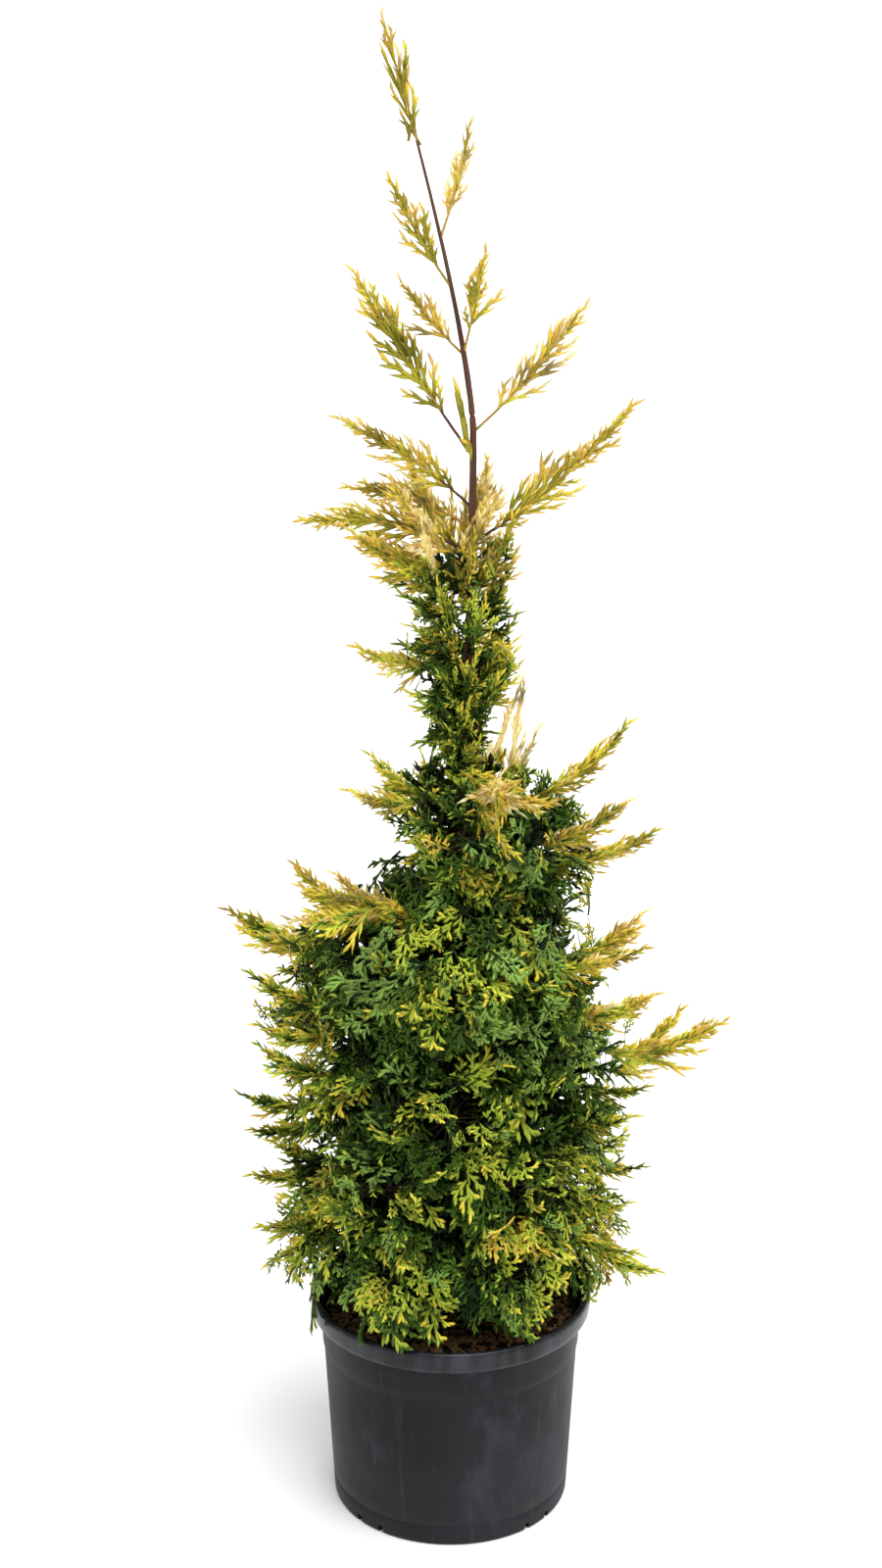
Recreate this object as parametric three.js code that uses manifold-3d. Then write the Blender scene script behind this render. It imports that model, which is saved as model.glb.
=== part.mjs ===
// A young golden leyland cypress standing in the round pot it was grown in.
// Millimetres, +Z up. The origin is the centre of the pot's flat underside, and -Y faces the viewer.
// Headings are degrees from +X, turning towards +Y, so 270 points at the viewer.
import * as THREE from "three";
import { mergeVertices } from "three/addons/utils/BufferGeometryUtils.js";
import Module from "manifold-3d";

const wasm = await Module();
wasm.setup();

// Driving dimensions
const GAP = 0.35; // clearance between two pieces that touch in life
const FINEST = 0.004; // the smallest detail

const POT = {
  height: 240,
  rimRadius: 150,
  rimBand: 23, // height of the thick band under the lip
  lip: 8, // width of the rolled lip
  collarTop: 139, // wall radius just under the band
  collarHeight: 180, // the collar steps in here
  collarStep: 1.2,
  footRadius: 126,
  footChamfer: 3,
  wall: 2.6,
  floor: 3,
  sides: 36,
};
const DRAIN = { pairsAt: [47, 137, 227, 317], halfSpread: 7, width: 6, height: 11 };

const SOIL = { edgeHeight: 213, crownHeight: 221, crownRadius: 30, sides: 26 };

const TRUNK = {
  foot: SOIL.crownHeight + GAP,
  top: 1440,
  footRadius: 12.4,
  leastRadius: 0.7,
  taper: 1.3,
  flare: 7, // what the root flare adds to the radius at the soil
  flareHeight: 13,
  flareLobes: 5,
  plantTop: 1548,
  swayRight: 21, // the stem drifts right up to swayEnd, then the leader leans left
  swayEnd: 1160,
  leanLeft: 86,
  leanPower: 1.35,
  swayBack: 5,
  sides: 10,
  steps: 22,
};

const LIMB = { sides: 6, step: 30, tipShare: 0.62 }; // boughs
const STEM = { sides: 3, steps: 4, tipRadius: 0.7 }; // stems inside the masses

// The packed inner part of a dense mass, which its sprays stand out of. from, to, centre and stemTo are
// shares of its stem, and rootsAt are the depths, as shares of its radius, where a blade may be rooted.
const CORE = {
  sides: 6,
  rings: 4,
  from: 0.04,
  to: 0.9,
  wider: 0.1,
  centre: 0.55,
  stemTo: 0.6,
  rootsAt: [0.72, 0.6, 0.48, 0.36],
};

// A spray is a flat blade cut into fingers that fan out from its hub. All lengths are shares of its own.
const BLADE = {
  thickness: 2.2, // in millimetres
  notch: 0.52, // how far out the notch between two fingers is, of the shorter one's length
  leastLength: 16,
  leastInBush: 30,
  shorten: 0.84,
  tries: 6, // candidates for each spray that a dense mass takes
};
const HABIT = {
  // a feathery spray: slim blades on both sides of a bare stem
  plume: {
    threeFrom: 46, // a spray this long has three fingers, a shorter one is a single leaf
    fiveFrom: 70,
    hub: 0.4,
    leafWidth: 0.22,
    fanAngle: 34,
    outerFinger: 0.66,
    baseAngle: 44,
    tipAngle: 28,
    angleSpread: 6,
    roll: 180,
    rollSpread: 26,
    twistSpread: 22,
  },
  // a dense bush: broad blades all round a packed core
  bush: {
    threeFrom: 26,
    fiveFrom: 90,
    hub: 0.36,
    leafWidth: 0.3,
    fanAngle: 44,
    outerFinger: 0.78,
    baseAngle: 80,
    tipAngle: 40,
    angleSpread: 10,
    roll: 137.5,
    rollSpread: 24,
    twistSpread: 55,
  },
};

// The clearances that foliage keeps, and how far apart the middles of two neighbouring masses can be.
const SPACE = { between: 3, limb: 1.6, pot: 3, soil: 3, wood: 0.8, neighbour: 230 };

const COLOURS = {
  pot: { color: "#33353a", roughness: 0.45 },
  soil: { color: "#2d211a", roughness: 0.95 },
  bark: { color: "#6b4233", roughness: 0.8 },
  pale: { color: "#e9d08a", roughness: 0.6 },
  gold: { color: "#c9a53c", roughness: 0.6 },
  olive: { color: "#8d8a2c", roughness: 0.6 },
  lime: { color: "#8fa032", roughness: 0.6 },
  green: { color: "#4d7029", roughness: 0.6 },
  deep: { color: "#35551f", roughness: 0.6 },
};

// What grows from the trunk
//
// Each row is a bough with its mass of foliage: at is the height where it leaves the trunk, reach how far
// out its tip is, rise how far up, bow how much it arches, bare the length with no leaves, span how far the
// longest side spray stands out and count how many sprays there are. limb is the radius of a bough that is
// seen bare, and 0 where the foliage starts at the trunk. Every dense mass of a group has a packed core that
// reaches up to core out from its stem and stays heart away from the trunk, and droop bends its sprays down.
const grow = (habit, { core = 0, heart = 0, droop = 0 }, rows) =>
  rows.map(([name, at, heading, reach, rise, bow, bare, span, count, tint, limb = 0]) => ({
    name,
    at,
    heading,
    reach,
    rise,
    bow,
    bare,
    span,
    count,
    tint,
    limb,
    core,
    heart,
    droop,
    ...HABIT[habit],
  }));

const LEADER = grow("plume", {}, [
  ["leader_spray_1", 1345, 18, 29, 97, -6, 22, 32, 10, "pale"],
  ["leader_spray_2", 1298, 188, 55, 98, -6, 24, 36, 11, "olive"],
  ["leader_spray_3", 1234, 148, 66, 60, -4, 20, 36, 10, "pale"],
  ["leader_spray_4", 1236, 312, 27, 94, -6, 26, 32, 9, "olive"],
]);

const SHOULDER = grow("plume", { droop: 0.05 }, [
  ["upper_left", 1135, 190, 112, 174, -4, 56, 48, 14, "olive", 2.4],
  ["upper_right", 1160, 4, 102, 117, -8, 34, 46, 12, "gold"],
  ["left_high", 1085, 166, 125, 76, 8, 42, 50, 11, "gold", 2.2],
  ["right_high", 1050, 356, 152, 134, -10, 44, 54, 14, "gold", 2.8],
  ["left_low", 1040, 182, 158, 32, 14, 44, 54, 13, "olive", 2.6],
  ["left_back", 1064, 152, 132, 26, 10, 38, 48, 11, "gold"],
  ["shoulder_back", 1035, 82, 108, 70, 4, 26, 52, 11, "gold"],
]);

const COLUMN = grow("bush", { core: 28, heart: 6 }, [
  ["column_right_top", 944, 338, 44, 92, 0, 6, 38, 5, "green"],
  ["column_right", 852, 340, 66, 90, -2, 18, 40, 5, "olive", 2.6],
  ["column_left_top", 936, 204, 54, 86, 0, 6, 38, 5, "olive"],
  ["column_left", 850, 184, 100, 88, 6, 8, 40, 5, "gold"],
  ["column_back", 872, 90, 50, 128, 0, 6, 40, 5, "deep"],
  ["column_front", 862, 266, 46, 124, 0, 6, 38, 5, "green"],
]);

const MIDDLE = grow("bush", { core: 44, heart: 10, droop: 0.1 }, [
  ["middle_right_top", 742, 4, 165, 125, -10, 30, 54, 6, "gold", 3.2],
  ["middle_left_top", 730, 190, 104, 90, 0, 12, 52, 6, "gold"],
  ["middle_front", 690, 270, 120, 118, 4, 10, 54, 6, "gold"],
  ["middle_right", 672, 328, 168, 110, 2, 16, 54, 6, "olive"],
  ["middle_right_low", 654, 24, 196, 86, 10, 16, 54, 6, "gold"],
  ["middle_back", 676, 112, 130, 112, 6, 10, 54, 6, "green"],
]);

const PALE = grow("plume", {}, [["middle_pale", 780, 50, 92, 112, -14, 30, 40, 10, "pale"]]);

const BODY = grow("bush", { core: 60, heart: 14, droop: 0.15 }, [
  ["body_left_high", 600, 188, 168, 124, -4, 36, 58, 6, "gold", 3.8],
  ["body_left_far", 540, 174, 233, 128, -6, 44, 60, 6, "gold", 4.2],
  ["body_left_mid", 452, 190, 200, 110, -6, 22, 58, 6, "olive"],
  ["body_left_low", 346, 184, 214, 106, -6, 22, 58, 6, "olive"],
  ["body_right_high", 560, 0, 194, 102, -4, 22, 58, 6, "gold"],
  ["body_right_far", 420, 6, 279, 126, -12, 48, 60, 6, "gold", 4.4],
  ["body_right_mid", 350, 344, 190, 88, 0, 22, 58, 6, "lime"],
  ["body_front_high", 550, 264, 138, 100, 6, 12, 60, 6, "lime"],
  ["body_front_right_high", 490, 310, 146, 106, 8, 14, 60, 6, "green"],
  ["body_front_left_high", 484, 224, 146, 102, 8, 14, 60, 6, "green"],
  ["body_front_mid", 414, 268, 158, 92, 8, 18, 60, 6, "lime"],
  ["body_front_right", 340, 304, 162, 80, 10, 18, 60, 6, "green"],
  ["body_front_left", 332, 234, 160, 80, 10, 18, 60, 6, "green"],
  ["body_back_high", 548, 88, 146, 100, 4, 14, 62, 5, "green"],
  ["body_back_left", 440, 132, 166, 96, 6, 18, 62, 5, "deep"],
  ["body_back_right", 436, 46, 170, 100, 6, 18, 62, 5, "deep"],
  ["body_back_low", 336, 92, 168, 84, 6, 18, 62, 5, "green"],
]);

const FOOT = grow("bush", { core: 48, heart: 12, droop: 0.35 }, [
  ["foot_left", 262, 190, 196, 36, 34, 18, 56, 5, "lime"],
  ["foot_right", 262, 352, 208, 20, 40, 18, 56, 5, "lime"],
  ["foot_front_left", 262, 246, 152, 34, 34, 16, 56, 5, "lime"],
  ["foot_front_right", 262, 298, 156, 34, 34, 16, 56, 5, "lime"],
  ["foot_back_left", 262, 128, 162, 36, 30, 16, 58, 5, "green"],
  ["foot_back_right", 262, 52, 166, 34, 30, 16, 58, 5, "green"],
]);

const ROWS = [...LEADER, ...SHOULDER, ...COLUMN, ...MIDDLE, ...PALE, ...BODY, ...FOOT];

// Small helpers
const rad = THREE.MathUtils.degToRad;
const UP = new THREE.Vector3(0, 0, 1);
const lerp = THREE.MathUtils.lerp;

// A Park-Miller stream of numbers from 0 to 1, so that the plant grows the same way each time.
function seeded(seed) {
  let state = (seed * 7919 + 104729) % 2147483647;
  return () => {
    state = (state * 16807) % 2147483647;
    return state / 2147483647;
  };
}

// The solid inside a closed three.js geometry.
function solid(geometry) {
  const bare = new THREE.BufferGeometry();
  bare.setAttribute("position", geometry.getAttribute("position"));
  if (geometry.index) bare.setIndex(geometry.index);
  const merged = mergeVertices(bare, 1e-3);
  return new wasm.Manifold(
    new wasm.Mesh({
      numProp: 3,
      vertProperties: merged.attributes.position.array,
      triVerts: new Uint32Array(merged.index.array),
    }),
  );
}

// True where no two corners of a solid lie close enough to melt into one when it is written out.
function crisp(made) {
  const { numVert, numProp, vertProperties } = made.getMesh();
  const cells = new Set();
  for (let i = 0; i < numVert; i++)
    cells.add([0, 1, 2].map((axis) => Math.round(vertProperties[i * numProp + axis] / FINEST)).join());
  return cells.size === numVert;
}

// The largest single body of a solid, as a three.js geometry.
function geometryOf(made) {
  const bodies = made.decompose().sort((a, b) => b.volume() - a.volume());
  const mesh = bodies[0].getMesh();
  const stride = mesh.numProp;
  const points = new Float32Array(mesh.numVert * 3);
  for (let i = 0; i < mesh.numVert; i++)
    points.set(mesh.vertProperties.subarray(i * stride, i * stride + 3), i * 3);
  const geometry = new THREE.BufferGeometry();
  geometry.setAttribute("position", new THREE.BufferAttribute(points, 3));
  geometry.setIndex(new THREE.BufferAttribute(mesh.triVerts, 1));
  geometry.computeVertexNormals();
  return geometry;
}

// A cylinder bent along centre(t), with radius(t, angle) round it, for t from 0 to 1.
function tube(centre, radius, sides, steps) {
  const geometry = new THREE.CylinderGeometry(1, 1, 1, sides, steps);
  const position = geometry.getAttribute("position");
  for (let i = 0; i < position.count; i++) {
    const t = position.getY(i) + 0.5;
    const { across, lift } = frameAt(centre, t);
    const onRim = Math.hypot(position.getX(i), position.getZ(i)) > 0.5;
    const angle = Math.atan2(position.getZ(i), position.getX(i));
    const r = onRim ? radius(t, angle) : 0;
    const p = centre(t);
    p.addScaledVector(lift, r * Math.cos(angle)).addScaledVector(across, -r * Math.sin(angle));
    position.setXYZ(i, p.x, p.y, p.z);
  }
  return geometry;
}

// The tangent of a curve and the two directions across it: across is level, lift points up.
function frameAt(centre, t) {
  const step = 0.01;
  const tangent = centre(Math.min(t + step, 1)).sub(centre(Math.max(t - step, 0))).normalize();
  const steep = Math.abs(tangent.z) > 0.995;
  const beside = steep ? new THREE.Vector3(0, 1, 0) : UP;
  const across = new THREE.Vector3().crossVectors(tangent, beside).normalize();
  const lift = new THREE.Vector3().crossVectors(across, tangent).normalize();
  return { tangent, across, lift };
}

// The trunk
function trunkPoint(z) {
  const climb = THREE.MathUtils.smoothstep(z, TRUNK.foot, TRUNK.swayEnd);
  const lean = Math.max(0, (z - TRUNK.swayEnd) / (TRUNK.plantTop - TRUNK.swayEnd));
  return new THREE.Vector3(
    TRUNK.swayRight * climb - TRUNK.leanLeft * lean ** TRUNK.leanPower,
    TRUNK.swayBack * Math.sin(Math.PI * climb),
    z,
  );
}

function trunkRadius(z) {
  const share = Math.min(1, Math.max(0, (z - TRUNK.foot) / (TRUNK.plantTop - TRUNK.foot)));
  const flare = TRUNK.flare * Math.exp(-Math.max(0, z - TRUNK.foot) / TRUNK.flareHeight);
  return TRUNK.footRadius * (1 - share) ** TRUNK.taper + TRUNK.leastRadius + flare;
}

// The trunk's surface is drawn level ring by level ring, so its foot is a flat cut.
function trunkSolid(extra = 0, foot = TRUNK.foot, top = TRUNK.top) {
  const geometry = new THREE.CylinderGeometry(1, 1, 1, TRUNK.sides, TRUNK.steps);
  const position = geometry.getAttribute("position");
  for (let i = 0; i < position.count; i++) {
    // rings crowd towards the foot, where the flare is
    const t = (position.getY(i) + 0.5) ** 1.6;
    const z = lerp(foot, top, t);
    const angle = Math.atan2(position.getZ(i), position.getX(i));
    const onRim = Math.hypot(position.getX(i), position.getZ(i)) > 0.5;
    const lobes = 1 + 0.14 * Math.cos(TRUNK.flareLobes * angle) * Math.exp(-(z - foot) / TRUNK.flareHeight);
    const r = onRim ? trunkRadius(z) * lobes + extra : 0;
    const c = trunkPoint(z);
    position.setXYZ(i, c.x + r * Math.cos(angle), c.y - r * Math.sin(angle), z);
  }
  return solid(geometry);
}

// Boughs and the stems of the masses
function boughCurve(r) {
  const base = trunkPoint(r.at);
  const out = new THREE.Vector3(Math.cos(rad(r.heading)), Math.sin(rad(r.heading)), 0);
  return (t) =>
    base
      .clone()
      .addScaledVector(out, r.reach * t)
      .addScaledVector(UP, r.rise * t + r.bow * 4 * t * (1 - t));
}

// The share of a curve that its first length millimetres take up.
function shareOf(centre, length) {
  const steps = 200;
  let walked = 0;
  for (let i = 1; i <= steps; i++) {
    walked += centre(i / steps).distanceTo(centre((i - 1) / steps));
    if (walked >= length) return i / steps;
  }
  return 1;
}

function curveLength(centre) {
  const steps = 40;
  let walked = 0;
  for (let i = 1; i <= steps; i++) walked += centre(i / steps).distanceTo(centre((i - 1) / steps));
  return walked;
}

const stretch = (centre, from, to) => (t) => centre(lerp(from, to, t));

const stemRadius = (r) => (r.limb ? r.limb * LIMB.tipShare : 1.5 + r.length / 260);

// The space that each mass keeps to
const SEGMENTS = 8;
const lineOf = (centre, from, to) =>
  Array.from({ length: SEGMENTS + 1 }, (_, i) => centre(lerp(from, to, i / SEGMENTS)));

function distanceToLine(p, line) {
  let best = Infinity;
  const along = new THREE.Vector3();
  const toPoint = new THREE.Vector3();
  for (let i = 1; i < line.length; i++) {
    along.subVectors(line[i], line[i - 1]);
    toPoint.subVectors(p, line[i - 1]);
    const t = THREE.MathUtils.clamp(toPoint.dot(along) / along.lengthSq(), 0, 1);
    best = Math.min(best, toPoint.addScaledVector(along, -t).length());
  }
  return best;
}

// The plane halfway between two dense masses, running along their stems. Its normal points into the first.
function parting(r, other) {
  const apart = r.middle.clone().sub(other.middle);
  const along = r.direction.clone().add(other.direction).normalize();
  const normal = apart.clone().addScaledVector(along, -apart.dot(along)).normalize();
  const point = r.middle.clone().add(other.middle).multiplyScalar(0.5);
  return { normal, offset: normal.dot(point) + SPACE.between / 2 };
}

// The planes that bound a dense mass: those halfway to its neighbours, and the inner one that keeps its
// core off the trunk.
function boundsOf(r) {
  const near = (other) => other !== r && other.core && other.middle.distanceTo(r.middle) < SPACE.neighbour;
  const planes = ROWS.filter(near).map((other) => parting(r, other));
  const normal = new THREE.Vector3(Math.cos(rad(r.heading)), Math.sin(rad(r.heading)), 0);
  const axis = trunkPoint(r.middle.z);
  const inner = { normal, offset: normal.dot(axis) + trunkRadius(axis.z) + r.heart };
  return { planes, inner };
}

function clearOfPot(p) {
  const r = Math.hypot(p.x, p.y);
  if (p.z > POT.height + SPACE.pot || r > POT.rimRadius + SPACE.pot) return true;
  const inside = POT.collarTop - POT.wall - POT.lip;
  return r < inside && p.z > SOIL.crownHeight + SPACE.soil;
}

function clearOfTrunk(p) {
  const axis = trunkPoint(p.z);
  return p.z > TRUNK.top + 4 || Math.hypot(p.x - axis.x, p.y - axis.y) > trunkRadius(p.z) + SPACE.limb;
}

// True where a point is in its own mass's space and clear of trunk, pot and soil. Dense masses are parted by
// planes, and a feathery one keeps to what is nearer its own stem than any other feathery one's.
function inOwnSpace(p, own) {
  if (!clearOfPot(p) || !clearOfTrunk(p)) return false;
  if (own.core) return own.planes.every(({ normal, offset }) => normal.dot(p) > offset);
  const reach = distanceToLine(p, own.line) + SPACE.between;
  return ROWS.every((other) => other === own || other.core || distanceToLine(p, other.line) > reach);
}

// One flat spray
//
// Its outline from the root round to the root again, as [along, across] shares of the length.
function sprayOutline(r, length) {
  if (length < r.threeFrom) return [[0, 0], [r.hub, -r.leafWidth / 2], [1, 0], [r.hub, r.leafWidth / 2]];
  const most = length >= r.fiveFrom ? 2 : 1;
  const reach = (k) => (1 - r.hub) * (1 - (1 - r.outerFinger) * (k / most));
  const at = (radius, angle) => [r.hub + radius * Math.cos(angle), radius * Math.sin(angle)];
  const half = [];
  for (let k = most; k >= 1; k--) {
    const angle = rad((r.fanAngle * k) / most);
    half.push(at(reach(k), angle));
    half.push(at(BLADE.notch * reach(k), angle - rad(r.fanAngle / most / 2)));
  }
  return [[0, 0], ...half.map(([x, y]) => [x, -y]), [1, 0], ...half.reverse()];
}

function sprayPoint(spray, along, across, out = 0) {
  const side = new THREE.Vector3().crossVectors(spray.normal, spray.direction);
  return spray.root
    .clone()
    .addScaledVector(spray.direction, along * spray.length)
    .addScaledVector(side, across * spray.length)
    .addScaledVector(spray.normal, out);
}

// A sphere of one belt and two poles: the belt takes the outline, the poles the two faces.
function sprayGeometry(r, spray, thickness = BLADE.thickness) {
  const outline = sprayOutline(r, spray.length);
  const geometry = new THREE.SphereGeometry(1, outline.length, 2);
  const position = geometry.getAttribute("position");
  for (let i = 0; i < position.count; i++) {
    const column = i % (outline.length + 1);
    const side = Math.round(position.getY(i));
    const [along, across] = side ? [r.hub, 0] : outline[column % outline.length];
    const p = sprayPoint(spray, along, across, (side * thickness) / 2);
    position.setXYZ(i, p.x, p.y, p.z);
  }
  return geometry;
}

// The points of a spray that must stay in its mass's space.
function sprayPoints(r, spray) {
  const points = [];
  for (const [x, y] of sprayOutline(r, spray.length)) {
    for (const share of [1, 0.6]) {
      const along = lerp(r.hub, x, share);
      if (along > 0.25) points.push(sprayPoint(spray, along, y * share));
    }
  }
  return points;
}

// The packed core of a dense mass is egg-shaped, fuller towards its outer end, and wider than it is tall.
function coreRadius(r, t, angle = Math.PI / 4) {
  const share = (t - r.coreFrom) / (CORE.to - r.coreFrom);
  if (!r.core || share < 0 || share > 1) return 0;
  const egg = Math.sin(Math.PI * (0.06 + 0.86 * share ** 1.25)) ** 0.7;
  return r.core * egg * (1 - CORE.wider * Math.cos(2 * angle));
}

// The rule by which sprays stand on a stem
function growSprays(r) {
  const random = seeded(r.seed);
  const signed = (spread) => (random() * 2 - 1) * spread;
  const sprays = [];
  // the blades of a feathery spray that goes sideways face the viewer, and those of the others lie level
  const turn = r.core ? r.seed * 40 : 80 * Math.abs(Math.cos(rad(r.heading)));
  const tries = r.core ? BLADE.tries * r.count : r.count;
  for (let i = 0; i < tries; i++) {
    // a dense mass takes the sprays that find room, so they are tried in a mixed order
    const share = r.core ? (0.8 + i * 0.618) % 1 : (i + 0.5) / tries;
    const t = lerp(r.start, 1, share * 0.92);
    const { tangent, across, lift } = frameAt(r.centre, t);
    const roll = rad(turn + i * r.roll + signed(r.rollSpread));
    const lean = rad(lerp(r.baseAngle, r.tipAngle, share) + signed(r.angleSpread));
    const sideways = across.clone().multiplyScalar(Math.cos(roll)).addScaledVector(lift, Math.sin(roll));
    const direction = tangent
      .clone()
      .multiplyScalar(Math.cos(lean))
      .addScaledVector(sideways, Math.sin(lean))
      .addScaledVector(UP, -r.droop * (1 - share))
      .normalize();
    const twist = rad(signed(r.twistSpread));
    const normal = new THREE.Vector3().crossVectors(tangent, direction).normalize();
    if (r.core) normal.cross(direction);
    normal.applyAxisAngle(direction, twist);
    // a blade of a dense mass is rooted just inside the skin of its core
    const rootAt = (depth) => r.centre(t).addScaledVector(sideways, depth * coreRadius(r, t));
    const deep = (p) => r.planes.every((plane) => plane.normal.dot(p) > plane.offset + SPACE.between);
    const root = rootAt(r.core ? (CORE.rootsAt.find((depth) => deep(rootAt(depth))) ?? 0) : 0);
    const length = r.span * (1 - 0.4 * share ** 1.5) * (0.85 + 0.25 * random()) + 0.2 * coreRadius(r, t);
    sprays.push({ root, direction, normal, length });
  }
  return sprays;
}

// The last spray runs on along the stem, to the mass's furthest point.
function tipSpray(r) {
  const free = r.length * (1 - r.start);
  const length = r.core ? r.length * (1 - CORE.to) + 12 : Math.min(0.8 * r.span, 0.5 * free);
  const root = r.centre(1 - length / r.length);
  const direction = r.centre(1).sub(root);
  const reach = direction.length();
  direction.normalize();
  const normal = new THREE.Vector3(0, -1, 0);
  normal.addScaledVector(direction, -normal.dot(direction)).normalize();
  return { root, direction, normal, length: reach };
}

// The pieces
const trunk = trunkSolid();
const trunkRoom = trunkSolid(GAP, TRUNK.foot - 1, TRUNK.top + GAP);

function boughSolid(r, extra = 0) {
  const radius = (t) => lerp(r.limb, r.limb * LIMB.tipShare, t) + extra;
  const steps = Math.max(2, Math.round(r.bare / LIMB.step));
  return solid(tube(stretch(r.centre, 0, r.start), radius, LIMB.sides, steps)).subtract(trunkRoom);
}

// True where a solid touches any of the solids in a list.
function touches(made, others) {
  const box = made.boundingBox();
  const apart = (other) =>
    [0, 1, 2].some((axis) => other.min[axis] > box.max[axis] || other.max[axis] < box.min[axis]);
  return others.some(({ shape, bounds }) => !apart(bounds) && !made.intersect(shape).isEmpty());
}

const kept = (shape) => ({ shape, bounds: shape.boundingBox() });

const SIZE = 4000; // far larger than the plant
const OVER_POT = { normal: UP, offset: POT.height + SPACE.pot };

// Everything near the plant on the side of a plane that its normal points to.
function halfSpace({ normal, offset }) {
  const box = new THREE.BoxGeometry(SIZE, SIZE, SIZE).translate(0, 0, SIZE / 2);
  const turned = new THREE.Quaternion().setFromUnitVectors(UP, normal);
  const point = normal.clone().multiplyScalar(offset);
  return solid(box.applyMatrix4(new THREE.Matrix4().compose(point, turned, new THREE.Vector3(1, 1, 1))));
}

function stemSolid(r, extra = 0) {
  const gapShare = r.limb ? GAP / r.length : 0;
  const stem = stretch(r.centre, r.stemFrom + gapShare, r.core ? CORE.stemTo : 1 - 6 / r.length);
  const radius = (t) => lerp(stemRadius(r), STEM.tipRadius, t) + extra;
  const made = solid(tube(stem, radius, STEM.sides, STEM.steps));
  return r.limb ? made : made.subtract(trunkRoom);
}

function coreSolid(r) {
  const radius = (t, angle) => coreRadius(r, lerp(r.coreFrom, CORE.to, t), angle);
  let core = solid(tube(stretch(r.centre, r.coreFrom, CORE.to), radius, CORE.sides, CORE.rings));
  for (const plane of [...r.planes, r.inner, OVER_POT]) core = core.intersect(halfSpace(plane));
  for (const other of ROWS) {
    const wood = other === r ? other.boughRoom : other.woodRoom;
    if (wood && touches(core, [wood])) core = core.subtract(wood.shape);
  }
  return core;
}

// The sprays are added one by one, each shortened or left out where it would touch anything else.
function addSprays(r) {
  const others = ROWS.filter((other) => other !== r).map((other) => other.kept);
  for (const other of ROWS) if (other.boughRoom) others.push(other.boughRoom);
  others.push(kept(trunkRoom));
  let made = r.kept.shape;
  let count = 0;
  for (const spray of [tipSpray(r), ...growSprays(r)]) {
    if (count > r.count) break;
    const room = () => kept(solid(sprayGeometry(r, spray, BLADE.thickness + 2 * GAP)));
    const inside = () => sprayPoints(r, spray).every((p) => inOwnSpace(p, r));
    const fits = () => inside() && !touches(room().shape, others);
    const least = r.core && count ? BLADE.leastInBush : BLADE.leastLength;
    while (spray.length >= least && !fits()) spray.length *= BLADE.shorten;
    if (spray.length < least) continue;
    const blade = solid(sprayGeometry(r, spray));
    if (!touches(blade, [kept(r.kept.shape)])) continue;
    const fuller = made.add(blade);
    if (!crisp(fuller)) continue;
    made = fuller;
    count++;
  }
  r.kept = kept(made);
}

// The leader's own tip is a mass whose stem runs on from the trunk.
function leaderTip() {
  const [r] = grow("plume", {}, [["leader_tip", TRUNK.top, 180, 0, 0, 0, 0, 40, 13, "gold"]]);
  return { ...r, centre: (t) => trunkPoint(lerp(TRUNK.top + GAP, TRUNK.plantTop, t)) };
}

function potSolid() {
  const p = POT;
  const bandBottom = p.height - p.rimBand;
  const wallAt = (z) => lerp(p.footRadius, p.collarTop - p.collarStep, z / bandBottom);
  const inner = (z) => wallAt(z) - p.wall;
  const profile = [
    [0, 0],
    [p.footRadius - p.footChamfer, 0],
    [p.footRadius, p.footChamfer],
    [wallAt(p.collarHeight), p.collarHeight],
    [wallAt(p.collarHeight) + p.collarStep, p.collarHeight + 1],
    [p.collarTop, bandBottom],
    [p.rimRadius - 2.5, bandBottom + 0.5],
    [p.rimRadius, bandBottom + 5],
    [p.rimRadius, p.height - 5],
    [p.rimRadius - p.lip / 2, p.height],
    [p.rimRadius - p.lip, p.height - 2],
    [inner(bandBottom), bandBottom - 4],
    [inner(p.floor), p.floor],
    [0, p.floor],
  ].map(([r, z]) => new THREE.Vector2(r, z));
  const geometry = new THREE.LatheGeometry(profile, p.sides);
  geometry.rotateX(Math.PI / 2);
  let made = solid(geometry);
  for (const middle of DRAIN.pairsAt)
    for (const side of [-1, 1]) {
      const slot = new THREE.BoxGeometry(24, DRAIN.width, DRAIN.height);
      slot.translate(p.footRadius, 0, DRAIN.height / 2 - 2);
      slot.rotateZ(rad(middle + side * DRAIN.halfSpread));
      made = made.subtract(solid(slot));
    }
  return made;
}

function soilSolid() {
  const bandBottom = POT.height - POT.rimBand;
  const wallAt = (z) => lerp(POT.footRadius, POT.collarTop - POT.collarStep, z / bandBottom);
  const edge = (z) => (wallAt(z) - POT.wall - GAP) * Math.cos(Math.PI / POT.sides);
  const bottom = POT.floor + GAP;
  const crown = SOIL.crownHeight;
  const profile = [
    [0, bottom],
    [edge(bottom), bottom],
    [edge(SOIL.edgeHeight - 6), SOIL.edgeHeight - 6],
    [edge(SOIL.edgeHeight) - 5, SOIL.edgeHeight],
    [95, lerp(SOIL.edgeHeight, crown, 0.45)],
    [SOIL.crownRadius, crown],
    [0, crown],
  ].map(([r, z]) => new THREE.Vector2(r, z));
  const geometry = new THREE.LatheGeometry(profile, SOIL.sides);
  geometry.rotateX(Math.PI / 2);
  return solid(geometry);
}

function mesh(name, made, colour) {
  const material = new THREE.MeshStandardMaterial({ metalness: 0, ...COLOURS[colour] });
  const piece = new THREE.Mesh(geometryOf(made), material);
  piece.name = name;
  return piece;
}

const plant = new THREE.Group();
plant.add(mesh("pot", potSolid(), "pot"));
plant.add(mesh("potting_soil", soilSolid(), "soil"));
plant.add(mesh("trunk", trunk, "bark"));

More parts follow.
